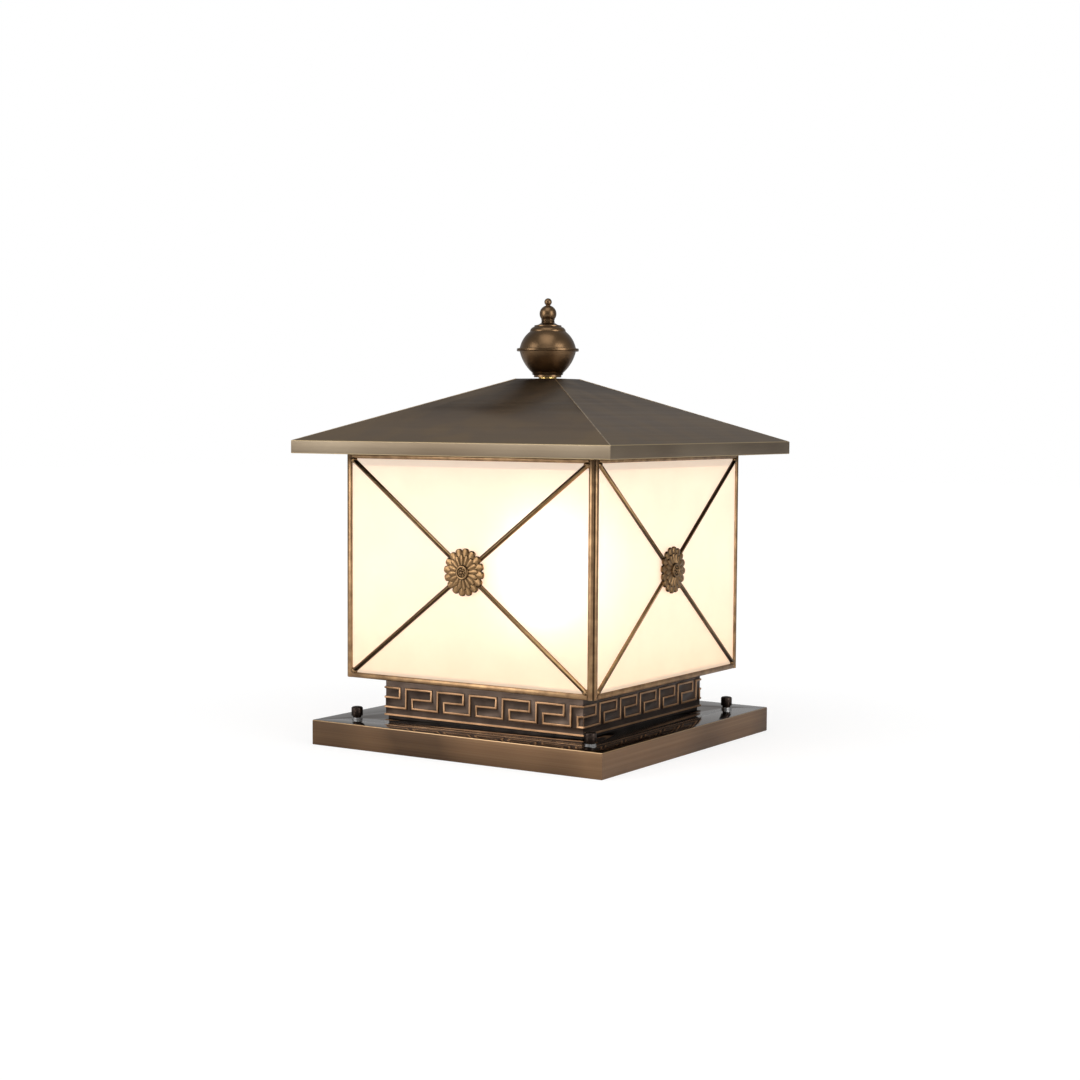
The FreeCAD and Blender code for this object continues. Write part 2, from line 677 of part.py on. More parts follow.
def top_ring():
    """Angle frame inside the top of the body: a skirt behind the glass and a flange."""
    ring = square_block(HALF_INSIDE, (BODY_TOP - RING_DROP, BODY_TOP))
    ring = ring.cut(square_block(HALF_INSIDE - RING_WALL, (BODY_TOP - RING_DROP - CUT_SPARE, RING_UNDERSIDE)))
    ring = ring.cut(square_block(HALF_INSIDE - RING_FLANGE, (RING_UNDERSIDE - CUT_SPARE, BODY_TOP + CUT_SPARE)))
    for x in (-crossbar_screw_place(), crossbar_screw_place()):
        ring = ring.cut(screw_hole((RING_UNDERSIDE, BODY_TOP), x, 0))
    return ring


def crossbar_screw_place():
    return HALF_INSIDE - (RING_WALL + RING_FLANGE) / 2


def crossbar():
    """Flat strap under the ring flange, carrying the roof stud."""
    half = HALF_INSIDE - RING_WALL - CROSSBAR_END_GAP
    level = (CROSSBAR_BOTTOM, RING_UNDERSIDE)
    strap = block((-half, half), (-CROSSBAR_WIDTH / 2, CROSSBAR_WIDTH / 2), level)
    strap = strap.cut(rod(FINIAL_STUD_R + THREAD_GAP, level))
    for x in (-crossbar_screw_place(), crossbar_screw_place()):
        strap = strap.cut(screw_hole(level, x, 0))
    return strap


def crossbar_screws():
    return Part.makeCompound([hex_screw(CROSSBAR_BOTTOM, BODY_TOP, x, 0, head_up=-1)
                              for x in (-crossbar_screw_place(), crossbar_screw_place())])


def finial_stud():
    return rod(FINIAL_STUD_R, (CROSSBAR_BOTTOM - FINIAL_STUD_TAIL, FINIAL_STUD_TOP))


def stud_lock_nuts():
    nuts = []
    for low in (CROSSBAR_BOTTOM - LOCK_NUT_HEIGHT, RING_UNDERSIDE):
        level = (low, low + LOCK_NUT_HEIGHT)
        nut = hexagon(LOCK_NUT_FLATS, level)
        nuts.append(nut.cut(rod(FINIAL_STUD_R + THREAD_GAP, level)))
    return Part.makeCompound(nuts)


# --- lampholder and bulb -------------------------------------------------------------

def lampholder_bracket():
    """Sheet bridge: two feet on the floor, two legs and a deck."""
    deck, foot, wall = BRACKET_DECK / 2, BRACKET_FOOT, BRACKET_WALL
    low, high = FLOOR_TOP, DECK_TOP
    outline = [(-deck - foot, low), (-deck - foot, low + wall), (-deck, low + wall), (-deck, high),
               (deck, high), (deck, low + wall), (deck + foot, low + wall), (deck + foot, low),
               (deck - wall, low), (deck - wall, high - wall), (wall - deck, high - wall),
               (wall - deck, low)]
    points = [Vector(x, -BRACKET_WIDTH / 2, z) for x, z in outline]
    bridge = prism(points, Vector(0, BRACKET_WIDTH, 0))
    for x in (-bracket_screw_place(), bracket_screw_place()):
        bridge = bridge.cut(screw_hole((low, low + wall), x, 0))
    return bridge


def lampholder_body():
    """Round holder, wider at its mouth, with a deep cup for the threaded shell."""
    low, high = DECK_TOP, DECK_TOP + HOLDER_HEIGHT
    return revolved([(0, low), (HOLDER_BASE_R, low), (HOLDER_BASE_R, high - 2 * HOLDER_CHAMFER),
                     (HOLDER_TOP_R, high - HOLDER_CHAMFER), (HOLDER_TOP_R, high), (SHELL_R, high),
                     (SHELL_R, low + SHELL_SEAT), (0, low + SHELL_SEAT)])


def lampholder_shell():
    low = DECK_TOP + SHELL_SEAT
    inner = SHELL_R - SHELL_WALL
    return revolved([(inner, low), (SHELL_R, low), (SHELL_R, low + SHELL_HEIGHT), (inner, low + SHELL_HEIGHT)])


def lampholder_contact():
    low = DECK_TOP + SHELL_SEAT
    return rod(CONTACT_R, (low, low + CONTACT_HEIGHT))


def bulb_cap():
    """Metal screw cap with its centre contact below."""
    rim = CAP_BOTTOM + CAP_TIP_HEIGHT
    return revolved([(0, CAP_BOTTOM), (CAP_TIP_R, CAP_BOTTOM), (CAP_R, rim), (CAP_R, CAP_BOTTOM + CAP_HEIGHT),
                     (0, CAP_BOTTOM + CAP_HEIGHT)])


def bulb_globe():
    """Tubular diffuser with a sloped shoulder and a low dome, standing on the cap."""
    low = CAP_BOTTOM + CAP_HEIGHT
    rim = (GLOBE_R, low + GLOBE_LENGTH - GLOBE_DOME)
    crown = (0, low + GLOBE_LENGTH)
    return revolved([(0, low), (GLOBE_NECK_R, low), (GLOBE_R, low + GLOBE_SHOULDER), rim] +
                    bowed(rim, crown, GLOBE_DOME_BULGE, BOW_STEPS) + [crown])


# --- roof ------------------------------------------------------------------------------

def hipped_solid(half, bottom, eave, half_top, top):
    """Square fascia block with a straight hipped roof on it."""
    low = [Vector(x, y, eave) for x, y in square_places(half)]
    high = [Vector(x, y, top) for x, y in square_places(half_top)]
    slopes = [(low[k - 1], low[k], high[k], high[k - 1]) for k in range(len(low))]
    hip = faceted(slopes + [low, high])
    return square_block(half, (bottom, eave)).fuse(hip).removeSplitter()


def roof_shell():
    """Sheet roof soldered from fascia strips, four slopes and a flat top with the stud hole."""
    outer = hipped_solid(HALF_ROOF, FASCIA_BOTTOM, EAVE, HALF_PLATEAU, ROOF_TOP)
    drop = ROOF_WALL / math.cos(ROOF_SLOPE)
    eave = EAVE + ROOF_WALL * math.tan(ROOF_SLOPE) - drop
    top = ROOF_TOP - ROOF_WALL
    half_top = HALF_PLATEAU - (drop - ROOF_WALL) / math.tan(ROOF_SLOPE)
    inner = hipped_solid(HALF_ROOF - ROOF_WALL, FASCIA_BOTTOM - CUT_SPARE, eave, half_top, top)
    shell = outer.cut(inner).cut(rod(ROOF_STUD_HOLE_R, (top - CUT_SPARE, ROOF_TOP + CUT_SPARE)))
    sheets = [shell.common(square_block(HALF_ROOF, (top, ROOF_TOP)))]
    for level in ((FASCIA_BOTTOM, eave), (eave, top)):
        sheets += mitred_sides(shell, HALF_ROOF, level)
    return Part.makeCompound(sheets)


def roof_soffit():
    """Flat sheet ring that closes the eave and rests on the body through the seal."""
    level = (SOFFIT_BOTTOM, SOFFIT_BOTTOM + ROOF_WALL)
    sheet = square_block(HALF_ROOF - ROOF_WALL, level)
    return sheet.cut(square_block(HALF_INSIDE - RING_FLANGE, level))


def roof_seal():
    """Square rubber ring on top of the posts, the rails and the ring flange."""
    level = (BODY_TOP, SOFFIT_BOTTOM)
    outer = HALF_BODY - SEAL_INSET
    return square_block(outer, level).cut(square_block(outer - SEAL_WIDTH, level))


def roof_backing_plate():
    top = ROOF_TOP - ROOF_WALL
    level = (top - BACKING_THICKNESS, top)
    return regular_prism(TURNED_FLATS, BACKING_R, level).cut(rod(ROOF_STUD_HOLE_R, level))


# --- finial ----------------------------------------------------------------------------

def finial_washer():
    level = (ROOF_TOP, FINIAL_BASE)
    return regular_prism(TURNED_FLATS, FINIAL_WASHER_R, level).cut(rod(FINIAL_STUD_R + HOLE_GAP, level))


def finial_lower_bowl():
    """Cast bowl on a foot with one bead, up to the middle of the rim."""
    bead = FINIAL_BASE + FOOT_HEIGHT
    low = (BOWL_LOW_R, BOWL_BOTTOM)
    high = (BOWL_HIGH_R, BOWL_BOTTOM + LOWER_BOWL_HEIGHT)
    hole = FINIAL_STUD_R + HOLE_GAP
    return revolved([(hole, FINIAL_BASE), (FOOT_R, FINIAL_BASE), (FOOT_R, bead), (FOOT_BEAD_R, bead),
                     (FOOT_BEAD_R, BOWL_BOTTOM), low] + bowed(low, high, BOWL_BULGE, BOW_STEPS) +
                    [high, (RIM_R, high[1]), (RIM_R, RIM_MIDDLE), (hole, RIM_MIDDLE)])


def finial_upper_bowl():
    """Cast cover from the rim up to the stepped collar, bored for the stud and the spigot."""
    rim = RIM_MIDDLE + RIM_HEIGHT
    low = (BOWL_HIGH_R, rim)
    high = (COLLAR_R, COLLAR_BOTTOM)
    hole = FINIAL_STUD_R + HOLE_GAP
    socket = KNOB_SPIGOT_R + THREAD_GAP
    socket_bottom = KNOB_BOTTOM - KNOB_SPIGOT - STUD_TOP_GAP
    return revolved([(hole, RIM_MIDDLE), (RIM_R, RIM_MIDDLE), (RIM_R, rim), low] +
                    bowed(low, high, BOWL_BULGE, BOW_STEPS) +
                    [high, (COLLAR_TOP_R, KNOB_BOTTOM), (socket, KNOB_BOTTOM),
                     (socket, socket_bottom), (hole, socket_bottom)])


def finial_knob():
    """Turned knob: ringed neck, ball, thin neck and tip, bored for the roof stud."""
    bore = FINIAL_STUD_R + THREAD_GAP
    flare = KNOB_BOTTOM + KNOB_FLARE_HEIGHT
    ring_top = flare + KNOB_RING_HEIGHT
    ball_middle = ring_top + math.sqrt(KNOB_BALL_R ** 2 - KNOB_RING_R ** 2)
    ball_top = ball_middle + math.sqrt(KNOB_BALL_R ** 2 - KNOB_NECK_R ** 2)
    neck_top = ball_top + KNOB_NECK_HEIGHT
    tip_middle = neck_top + math.sqrt(KNOB_TIP_R ** 2 - KNOB_NECK_R ** 2)
    bore_top = KNOB_BOTTOM + KNOB_BORE_DEPTH
    big = ball(KNOB_BALL_R, ball_middle, -math.degrees(math.acos(KNOB_RING_R / KNOB_BALL_R)),
               math.degrees(math.acos(KNOB_NECK_R / KNOB_BALL_R)), ROUND_STEPS)
    tip = ball(KNOB_TIP_R, tip_middle, -math.degrees(math.acos(KNOB_NECK_R / KNOB_TIP_R)), 90, BOW_STEPS)
    return revolved([(bore, KNOB_BOTTOM - KNOB_SPIGOT), (KNOB_SPIGOT_R, KNOB_BOTTOM - KNOB_SPIGOT),
                     (KNOB_SPIGOT_R, KNOB_BOTTOM), (COLLAR_TOP_R, KNOB_BOTTOM), (KNOB_RING_R, flare)] +
                    big + tip[:-1] + [(0, tip_middle + KNOB_TIP_R), (0, bore_top), (bore, bore_top)])


# --- the whole lantern -----------------------------------------------------------------

def single_parts():
    """Parts that the lantern has once, or as one group of equal fasteners."""
    makers = [mounting_plate, plate_studs, stud_lower_nuts, base_cover, cable_grommet, thumb_nut_washers,
              plinth_core, plinth_screws, terminal_block, earth_screw, body_floor, floor_screws,
              top_ring, crossbar, crossbar_screws, finial_stud, stud_lock_nuts, lampholder_bracket,
              lampholder_body, lampholder_shell, lampholder_contact, bulb_cap, bulb_globe, roof_shell,
              roof_soffit, roof_seal, roof_backing_plate, finial_washer, finial_lower_bowl,
              finial_upper_bowl, finial_knob]
    return {maker.__name__: maker() for maker in makers}


def side_parts():
    """Parts repeated on the four sides."""
    parts = {}
    for maker in (side_rails, glass_panel, lattice_bars, rosette):
        front = maker()
        for side, angle in SIDES.items():
            parts[f"{maker.__name__}_{side}"] = turned(front, angle)
    for side, angle in SIDES.items():
        parts[f"meander_band_{side}"] = turned(meander_band(BAND_PHASE[side]), angle)
    return parts


def corner_parts():
    """Parts repeated on the four corners."""
    parts = {}
    post = corner_post()
    nut = thumb_nut()
    x, y = square_places(STUD_PLACE)[0]
    nut.translate(Vector(x, y, 0))
    for corner, angle in CORNERS.items():
        parts[f"corner_post_{corner}"] = turned(post, angle)
        parts[f"thumb_nut_{corner}"] = turned(nut, angle)
    return parts


def main():
    os.makedirs("parts", exist_ok=True)
    parts = {**single_parts(), **side_parts(), **corner_parts()}
    for name, shape in parts.items():
        shape.exportStep(f"parts/{name}.step")
        print(f"{name:28s} solids {len(shape.Solids):2d}  valid {shape.isValid()}  "
              f"volume {shape.Volume / 1000:9.3f} cm3")
    print(len(parts), "nodes")


main()
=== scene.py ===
import json
import math

import bpy
from mathutils import Matrix, Vector

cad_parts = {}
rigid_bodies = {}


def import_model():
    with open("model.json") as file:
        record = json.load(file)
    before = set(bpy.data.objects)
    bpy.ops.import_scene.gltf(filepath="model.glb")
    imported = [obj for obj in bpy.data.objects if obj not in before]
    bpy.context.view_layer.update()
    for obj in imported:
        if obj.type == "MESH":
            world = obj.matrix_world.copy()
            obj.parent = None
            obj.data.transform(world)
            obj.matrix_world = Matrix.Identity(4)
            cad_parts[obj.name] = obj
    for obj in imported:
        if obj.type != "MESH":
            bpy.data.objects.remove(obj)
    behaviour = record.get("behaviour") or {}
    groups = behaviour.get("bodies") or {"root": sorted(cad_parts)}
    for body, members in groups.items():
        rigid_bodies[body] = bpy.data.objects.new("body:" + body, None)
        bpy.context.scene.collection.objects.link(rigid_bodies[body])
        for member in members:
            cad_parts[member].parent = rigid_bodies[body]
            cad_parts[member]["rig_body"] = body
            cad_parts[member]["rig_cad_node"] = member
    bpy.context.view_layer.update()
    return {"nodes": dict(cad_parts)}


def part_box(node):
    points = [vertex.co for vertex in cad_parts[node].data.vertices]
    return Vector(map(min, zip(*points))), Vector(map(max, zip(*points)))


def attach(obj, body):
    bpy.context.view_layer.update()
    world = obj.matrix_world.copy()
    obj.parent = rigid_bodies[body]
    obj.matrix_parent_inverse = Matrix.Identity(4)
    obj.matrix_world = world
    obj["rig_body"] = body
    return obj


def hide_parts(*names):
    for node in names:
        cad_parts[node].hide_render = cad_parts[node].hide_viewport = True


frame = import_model()
bpy.ops.object.select_all(action="DESELECT")

# ---------------------------------------------------------------------------
# Mounting plate, its studs and the inner hardware.
# Zinc-plated mild steel, stamped and turned, screwed or pressed together; the
# zinc gives a pale grey with a faint crystal mottle.

MM = 0.001


def srgb(code):
    """Linear colour of an sRGB hex code."""
    parts = [int(code[k:k + 2], 16) / 255 for k in (1, 3, 5)]
    return [p / 12.92 if p <= 0.04045 else ((p + 0.055) / 1.055) ** 2.4 for p in parts] + [1.0]


def add(tree, kind, sockets=None, links=None, **settings):
    """Adds a node, sets it up and links its inputs."""
    made = tree.nodes.new(kind)
    for key, value in settings.items():
        setattr(made, key, value)
    for key, value in (sockets or {}).items():
        made.inputs[key].default_value = value
    for key, source in (links or {}).items():
        tree.links.new(source, made.inputs[key])
    return made


def new_finish(name, **constants):
    """Material with a Principled shader, its constant sockets set; returns it with its tree."""
    material = bpy.data.materials.new(name)
    material.use_nodes = True
    tree = material.node_tree
    tree.nodes.clear()
    shader = add(tree, "ShaderNodeBsdfPrincipled",
                 {key.replace("_", " "): value for key, value in constants.items()})
    add(tree, "ShaderNodeOutputMaterial", links={"Surface": shader.outputs[0]})
    return material, tree, shader


def noise(tree, size_mm, detail=3.0, stretch=(1, 1, 1), roughness=0.55):
    """Noise on Object coordinates whose blotches have a real size."""
    place = add(tree, "ShaderNodeTexCoord")
    scaled = add(tree, "ShaderNodeMapping", {"Scale": stretch}, {"Vector": place.outputs["Object"]})
    return add(tree, "ShaderNodeTexNoise",
               {"Scale": 1 / (size_mm * MM), "Detail": detail, "Roughness": roughness},
               {"Vector": scaled.outputs[0]}).outputs["Fac"]


def ramp(tree, value, *stops):
    """Colour ramp; each stop is a position with a hex colour or a grey."""
    made = add(tree, "ShaderNodeValToRGB", links={"Fac": value})
    points = made.color_ramp.elements
    while len(points) < len(stops):
        points.new(0.5)
    for point, (position, colour) in zip(points, stops):
        point.position = position
        point.color = srgb(colour) if isinstance(colour, str) else (colour, colour, colour, 1)
    return made.outputs["Color"]


def surface(tree, shader, colour=None, rough=None, height=None, height_mm=0.05, strength=0.5):
    """Links the colour, the roughness and a bump of a real height to the shader."""
    if colour:
        tree.links.new(colour, shader.inputs["Base Color"])
    if rough:
        tree.links.new(rough, shader.inputs["Roughness"])
    if height:
        bump = add(tree, "ShaderNodeBump", {"Strength": strength, "Distance": height_mm * MM},
                   {"Height": height})
        tree.links.new(bump.outputs[0], shader.inputs["Normal"])


def dress(material, *names):
    """Gives a finish to CAD nodes."""
    for name in names:
        node = frame["nodes"][name]
        node.data.materials.clear()
        node.data.materials.append(material)


# zinc-plated steel: dull, faintly mottled by the plating's crystals, 4 mm across
zinc, tree, shader = new_finish("zinc_plated_steel", Metallic=1.0)
mottle = noise(tree, 4.0)
surface(tree, shader, ramp(tree, mottle, (0.3, "#9A9B9C"), (0.7, "#C2C3C3")),
        ramp(tree, mottle, (0.3, 0.45), (0.7, 0.3)), mottle, 0.02)
dress(zinc, "mounting_plate", "plate_studs", "stud_lower_nuts", "thumb_nut_washers",
      "plinth_screws", "body_floor", "floor_screws", "top_ring", "crossbar", "crossbar_screws",
      "stud_lock_nuts", "lampholder_bracket", "roof_backing_plate", "finial_stud")

# turned brass, for the earth screw and the finial's washer: bright, tarnished in 2 mm patches
brass, tree, shader = new_finish("turned_brass", Metallic=1.0)
tarnish = noise(tree, 2.0)
surface(tree, shader, ramp(tree, tarnish, (0.3, "#B08D4C"), (0.7, "#D9BC7A")),
        ramp(tree, tarnish, (0.3, 0.35), (0.7, 0.2)))
dress(brass, "earth_screw", "finial_washer")

# ---------------------------------------------------------------------------
# Base cover.
# Brass sheet folded over the plate, soldered at its mitred corners and finished
# in a glossy dark bronze lacquer, with a painted highlight along the folded top edge.

EDGE_ANGLE = math.radians(25)


def select_verts(piece, test):
    """Selects the vertices that a test on their place accepts; edit mode stays on."""
    bpy.ops.object.mode_set(mode="OBJECT")
    for part in (piece.data.polygons, piece.data.edges, piece.data.vertices):
        for item in part:
            item.select = False
    for vertex in piece.data.vertices:
        vertex.select = test(vertex.co)
    bpy.ops.object.mode_set(mode="EDIT")
    bpy.ops.mesh.select_mode(type="VERT")


def active(piece):
    """Makes a piece the only selected one."""
    bpy.ops.object.select_all(action="DESELECT")
    bpy.context.view_layer.objects.active = piece
    piece.select_set(True)


def finished(piece, name, material, body, bevel_mm=0.0, segments=2, smooth=30):
    """Bevels, smooths, names and dresses a piece and puts it on its body."""
    active(piece)
    if bevel_mm:
        edges = piece.modifiers.new("worn_edges", "BEVEL")
        edges.width = bevel_mm * MM
        edges.segments = segments
        edges.limit_method = "ANGLE"
        edges.angle_limit = EDGE_ANGLE
        bpy.ops.object.modifier_apply(modifier=edges.name)
    bpy.ops.object.transform_apply(location=True, rotation=True, scale=True)
    bpy.ops.object.shade_smooth_by_angle(angle=math.radians(smooth))
    piece.name = name
    piece.data.name = name
    piece.data.materials.clear()
    piece.data.materials.append(material)
    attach(piece, body)
    piece.select_set(False)
    return piece


def softened(node, name, material, body, bevel_mm, segments=2, smooth=30):
    """Copy of a CAD node with merged corners and softened edges, which stands for the node."""
    copy = frame["nodes"][node].copy()
    copy.data = frame["nodes"][node].data.copy()
    copy.parent = None
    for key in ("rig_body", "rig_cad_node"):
        if key in copy:
            del copy[key]
    bpy.context.scene.collection.objects.link(copy)
    active(copy)
    bpy.ops.object.mode_set(mode="EDIT")
    bpy.ops.mesh.select_all(action="SELECT")
    bpy.ops.mesh.remove_doubles(threshold=0.005 * MM)
    bpy.ops.mesh.dissolve_limited(angle_limit=math.radians(1))
    bpy.ops.object.mode_set(mode="OBJECT")
    finished(copy, name, material, body, bevel_mm, segments, smooth)
    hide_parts(node)
    return copy


def level(tree):
    """Height of a point on the object, in metres."""
    place = add(tree, "ShaderNodeTexCoord")
    return add(tree, "ShaderNodeSeparateXYZ", links={0: place.outputs["Object"]}).outputs[2]


def level_band(tree, low_mm, high_mm, soft_mm):
    """1 between two heights on the object, 0 outside, with soft ends."""
    here = level(tree)
    rise = add(tree, "ShaderNodeMapRange",
               {1: (low_mm - soft_mm) * MM, 2: (low_mm + soft_mm) * MM}, {0: here})
    fall = add(tree, "ShaderNodeMapRange",
               {1: (high_mm + soft_mm) * MM, 2: (high_mm - soft_mm) * MM}, {0: here})
    return add(tree, "ShaderNodeMath", links={0: rise.outputs[0], 1: fall.outputs[0]},
               operation="MULTIPLY").outputs[0]


def blend(tree, share, below, above):
    """Colour that goes from below to above as the share goes from 0 to 1."""
    made = add(tree, "ShaderNodeMix", data_type="RGBA")
    tree.links.new(share, made.inputs["Factor"])
    for socket, colour in (("A", below), ("B", above)):
        target = [s for s in made.inputs if s.name == socket and s.type == "RGBA"][0]
        if isinstance(colour, str):
            target.default_value = srgb(colour)
        else:
            tree.links.new(colour, target)
    return [s for s in made.outputs if s.type == "RGBA"][0]


cover_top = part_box("base_cover")[1].z / MM

# lacquered bronze on brushed sheet: the skirts keep long brush lines, drawn 1.5 mm apart so
# that they show, under a painted highlight along the top edge; the top is polished darker and
# glossier
gloss_bronze, tree, shader = new_finish("glossy_bronze_lacquer", Metallic=1.0)
brush = noise(tree, 1.5, stretch=(0.006, 0.006, 1))
drift = noise(tree, 120.0, detail=1.0)
skirt = blend(tree, ramp(tree, drift, (0.4, 0.0), (0.6, 0.8)),
              ramp(tree, brush, (0.3, "#4E3D30"), (0.7, "#5E4B3A")),
              ramp(tree, brush, (0.3, "#785D45"), (0.7, "#866A50")))
# painted highlight: a pale band along the folded top edge of the skirts
skirt = blend(tree, level_band(tree, cover_top - 0.6, cover_top + 1, 0.15), skirt, "#A98C69")
polished = ramp(tree, drift, (0.35, "#463B32"), (0.65, "#5A4C3F"))
normal = add(tree, "ShaderNodeNewGeometry")
upwards = add(tree, "ShaderNodeSeparateXYZ", links={0: normal.outputs["Normal"]}).outputs[2]
is_top = ramp(tree, upwards, (0.8, 0.0), (0.97, 1.0))
surface(tree, shader, blend(tree, is_top, skirt, polished),
        blend(tree, is_top, ramp(tree, brush, (0.3, 0.36), (0.7, 0.28)), "#5A5A5A"),
        brush, 0.01, 0.25)
softened("base_cover", "base_cover_lacquered", gloss_bronze, "lantern", 0.45, 3)

# moulded nitrile rubber: matt, with a fine 0.5 mm grain
rubber, tree, shader = new_finish("moulded_rubber", Roughness=0.75, Specular_IOR_Level=0.35)
grit = noise(tree, 0.5)
surface(tree, shader, ramp(tree, grit, (0.3, "#1B1B1B"), (0.7, "#2A2A29")), None, grit, 0.04)
dress(rubber, "cable_grommet", "roof_seal")

# ---------------------------------------------------------------------------
# Thumb nuts.
# Cap nuts turned from bar, blackened in an oxide bath, with flats for the
# fingers and a domed crown that has worn to a dull shine.

NUT_SIDES = 20
NECK_SHARE, NECK_WIDTH, CROWN_SHARE = 0.17, 0.74, 0.16
CROWN_STEPS = ((0.93, 0.35), (0.78, 0.35), (0.5, 0.2), (0.2, 0.1))

# black oxide on turned steel: almost black, satin, rubbed lighter in 1.5 mm spots
black_oxide, tree, shader = new_finish("black_oxide_steel", Metallic=0.9)
rubbed = noise(tree, 1.5)
surface(tree, shader, ramp(tree, rubbed, (0.35, "#241D1A"), (0.75, "#4A3E37")),
        ramp(tree, rubbed, (0.3, 0.42), (0.7, 0.26)), rubbed, 0.03)

for corner in ("front_right", "back_right", "back_left", "front_left"):
    low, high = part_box(f"thumb_nut_{corner}")
    middle, size = (low + high) / 2, high - low
    neck, crown, radius = size.z * NECK_SHARE, size.z * CROWN_SHARE, size.x / 2
    bpy.ops.mesh.primitive_cylinder_add(
        vertices=NUT_SIDES, radius=radius, depth=size.z - neck - crown, end_fill_type="NGON",
        location=(middle.x, middle.y, middle.z + (neck - crown) / 2))
    nut = bpy.context.object
    bpy.ops.object.transform_apply(location=True)
    top = high.z - crown
    for share, rise in CROWN_STEPS:
        select_verts(nut, lambda co: co.z > top - 1e-6)
        bpy.ops.mesh.extrude_region_move(TRANSFORM_OT_translate={"value": (0, 0, crown * rise)})
        top += crown * rise
        now = max((Vector((v.co.x, v.co.y)) - middle.xy).length
                  for v in nut.data.vertices if v.co.z > top - crown * rise - 1e-6)
        shrink = share * radius / now
        bpy.ops.transform.resize(value=(shrink, shrink, 1),
                                 center_override=(middle.x, middle.y, top))
    foot = low.z + neck
    select_verts(nut, lambda co: co.z < foot + 1e-6)
    bpy.ops.mesh.extrude_region_move(TRANSFORM_OT_translate={"value": (0, 0, 0)})
    bpy.ops.transform.resize(value=(NECK_WIDTH, NECK_WIDTH, 1),
                             center_override=(middle.x, middle.y, foot))
    bpy.ops.mesh.extrude_region_move(TRANSFORM_OT_translate={"value": (0, 0, low.z - foot)})
    bpy.ops.object.mode_set(mode="OBJECT")
    finished(nut, f"cap_nut_{corner}", black_oxide, f"thumb_nut_{corner}", 0.12, 2, 35)
    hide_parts(f"thumb_nut_{corner}")

# ---------------------------------------------------------------------------
# Plinth core and the four Greek-key bands.
# The core is blackened sheet; the bands are pressed brass, patinated dark and
# rubbed back so that the raised key and the two lips catch the light.

# blackened sheet behind the shadow gap: matt, nearly black, cloudy over 12 mm
blackened, tree, shader = new_finish("blackened_sheet", Metallic=0.8)
soot = noise(tree, 12.0)
surface(tree, shader, ramp(tree, soot, (0.3, "#14100D"), (0.7, "#241C17")),
        ramp(tree, soot, (0.3, 0.55), (0.7, 0.4)))
dress(blackened, "plinth_core")

band_face = -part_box("meander_band_front")[0].y / MM


def outwards(tree):
    """How far a point lies from the axis towards its own side, and along that side, in metres."""
    place = add(tree, "ShaderNodeTexCoord")
    away = add(tree, "ShaderNodeVectorMath", links={0: place.outputs["Object"]},
               operation="ABSOLUTE")
    split = add(tree, "ShaderNodeSeparateXYZ", links={0: away.outputs[0]})
    return (add(tree, "ShaderNodeMath", links={0: split.outputs[0], 1: split.outputs[1]},
                operation="MAXIMUM").outputs[0],
            add(tree, "ShaderNodeMath", links={0: split.outputs[0], 1: split.outputs[1]},
                operation="MINIMUM").outputs[0])


# pressed antique brass: dark field, warm rubbed relief, brush marks 0.6 mm apart
pressed, tree, shader = new_finish("pressed_antique_brass", Metallic=1.0)
depth = add(tree, "ShaderNodeMapRange", {1: (band_face - 0.6) * MM, 2: (band_face - 0.15) * MM},
            {0: outwards(tree)[0]}).outputs[0]
patches = noise(tree, 14.0)
brush = noise(tree, 0.6, stretch=(0.03, 0.03, 1))
field = ramp(tree, patches, (0.3, "#3A302A"), (0.7, "#4C4038"))
relief = ramp(tree, patches, (0.3, "#8A6A4E"), (0.7, "#A98463"))
surface(tree, shader, blend(tree, depth, field, relief), ramp(tree, brush, (0.3, 0.42), (0.7, 0.3)),
        brush, 0.02, 0.4)
for side in ("front", "right", "back", "left"):
    softened(f"meander_band_{side}", f"key_band_{side}", pressed, "lantern", 0.22)

# moulded polyamide terminal: off-white, satin, with a faint 1 mm flow texture
polyamide, tree, shader = new_finish("moulded_polyamide", Roughness=0.45)
flow = noise(tree, 1.0)
surface(tree, shader, ramp(tree, flow, (0.3, "#D9D6CA"), (0.7, "#E3E1D8")), None, flow, 0.02)
dress(polyamide, "terminal_block")

# ---------------------------------------------------------------------------
# Corner posts and side rails.
# Brass came strips with a domed face and a re-entrant corner groove, soldered at
# the corners, patinated brown, with painted shade colouring the groove almost black.

post_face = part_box("corner_post_front_right")[1].x / MM
GROOVE = 1.8

# patinated brass came: warm brown, lighter where hands rub it, 9 mm patches
came, tree, shader = new_finish("patinated_brass_came", Metallic=1.0)
patches = noise(tree, 9.0)
brush = noise(tree, 0.5, stretch=(1, 1, 0.04))
strip = ramp(tree, patches, (0.3, "#775D43"), (0.5, "#8D7052"), (0.72, "#A68662"))
# painted shade: the re-entrant corner groove is coloured almost black
groove_painted_shade = add(tree, "ShaderNodeMapRange",
                {1: (post_face - GROOVE - 0.1) * MM, 2: (post_face - GROOVE + 0.05) * MM},
                {0: outwards(tree)[1]}).outputs[0]
surface(tree, shader, blend(tree, groove_painted_shade, strip, "#17110D"),
        ramp(tree, brush, (0.3, 0.44), (0.7, 0.3)), brush, 0.015, 0.4)
for corner in ("front_right", "back_right", "back_left", "front_left"):
    softened(f"corner_post_{corner}", f"came_post_{corner}", came, "lantern", 0.15)
for side in ("front", "right", "back", "left"):
    softened(f"side_rails_{side}", f"came_rails_{side}", came, "lantern", 0.12)

# ---------------------------------------------------------------------------
# Glass panels.
# Rolled sheet glass, acid-frosted on its inner face, so the lamp shows only as
# a glow; the panes carry a painted glow, emitting cream light of their own, a little deeper low
# down.

pane_low, pane_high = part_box("glass_panel_front")
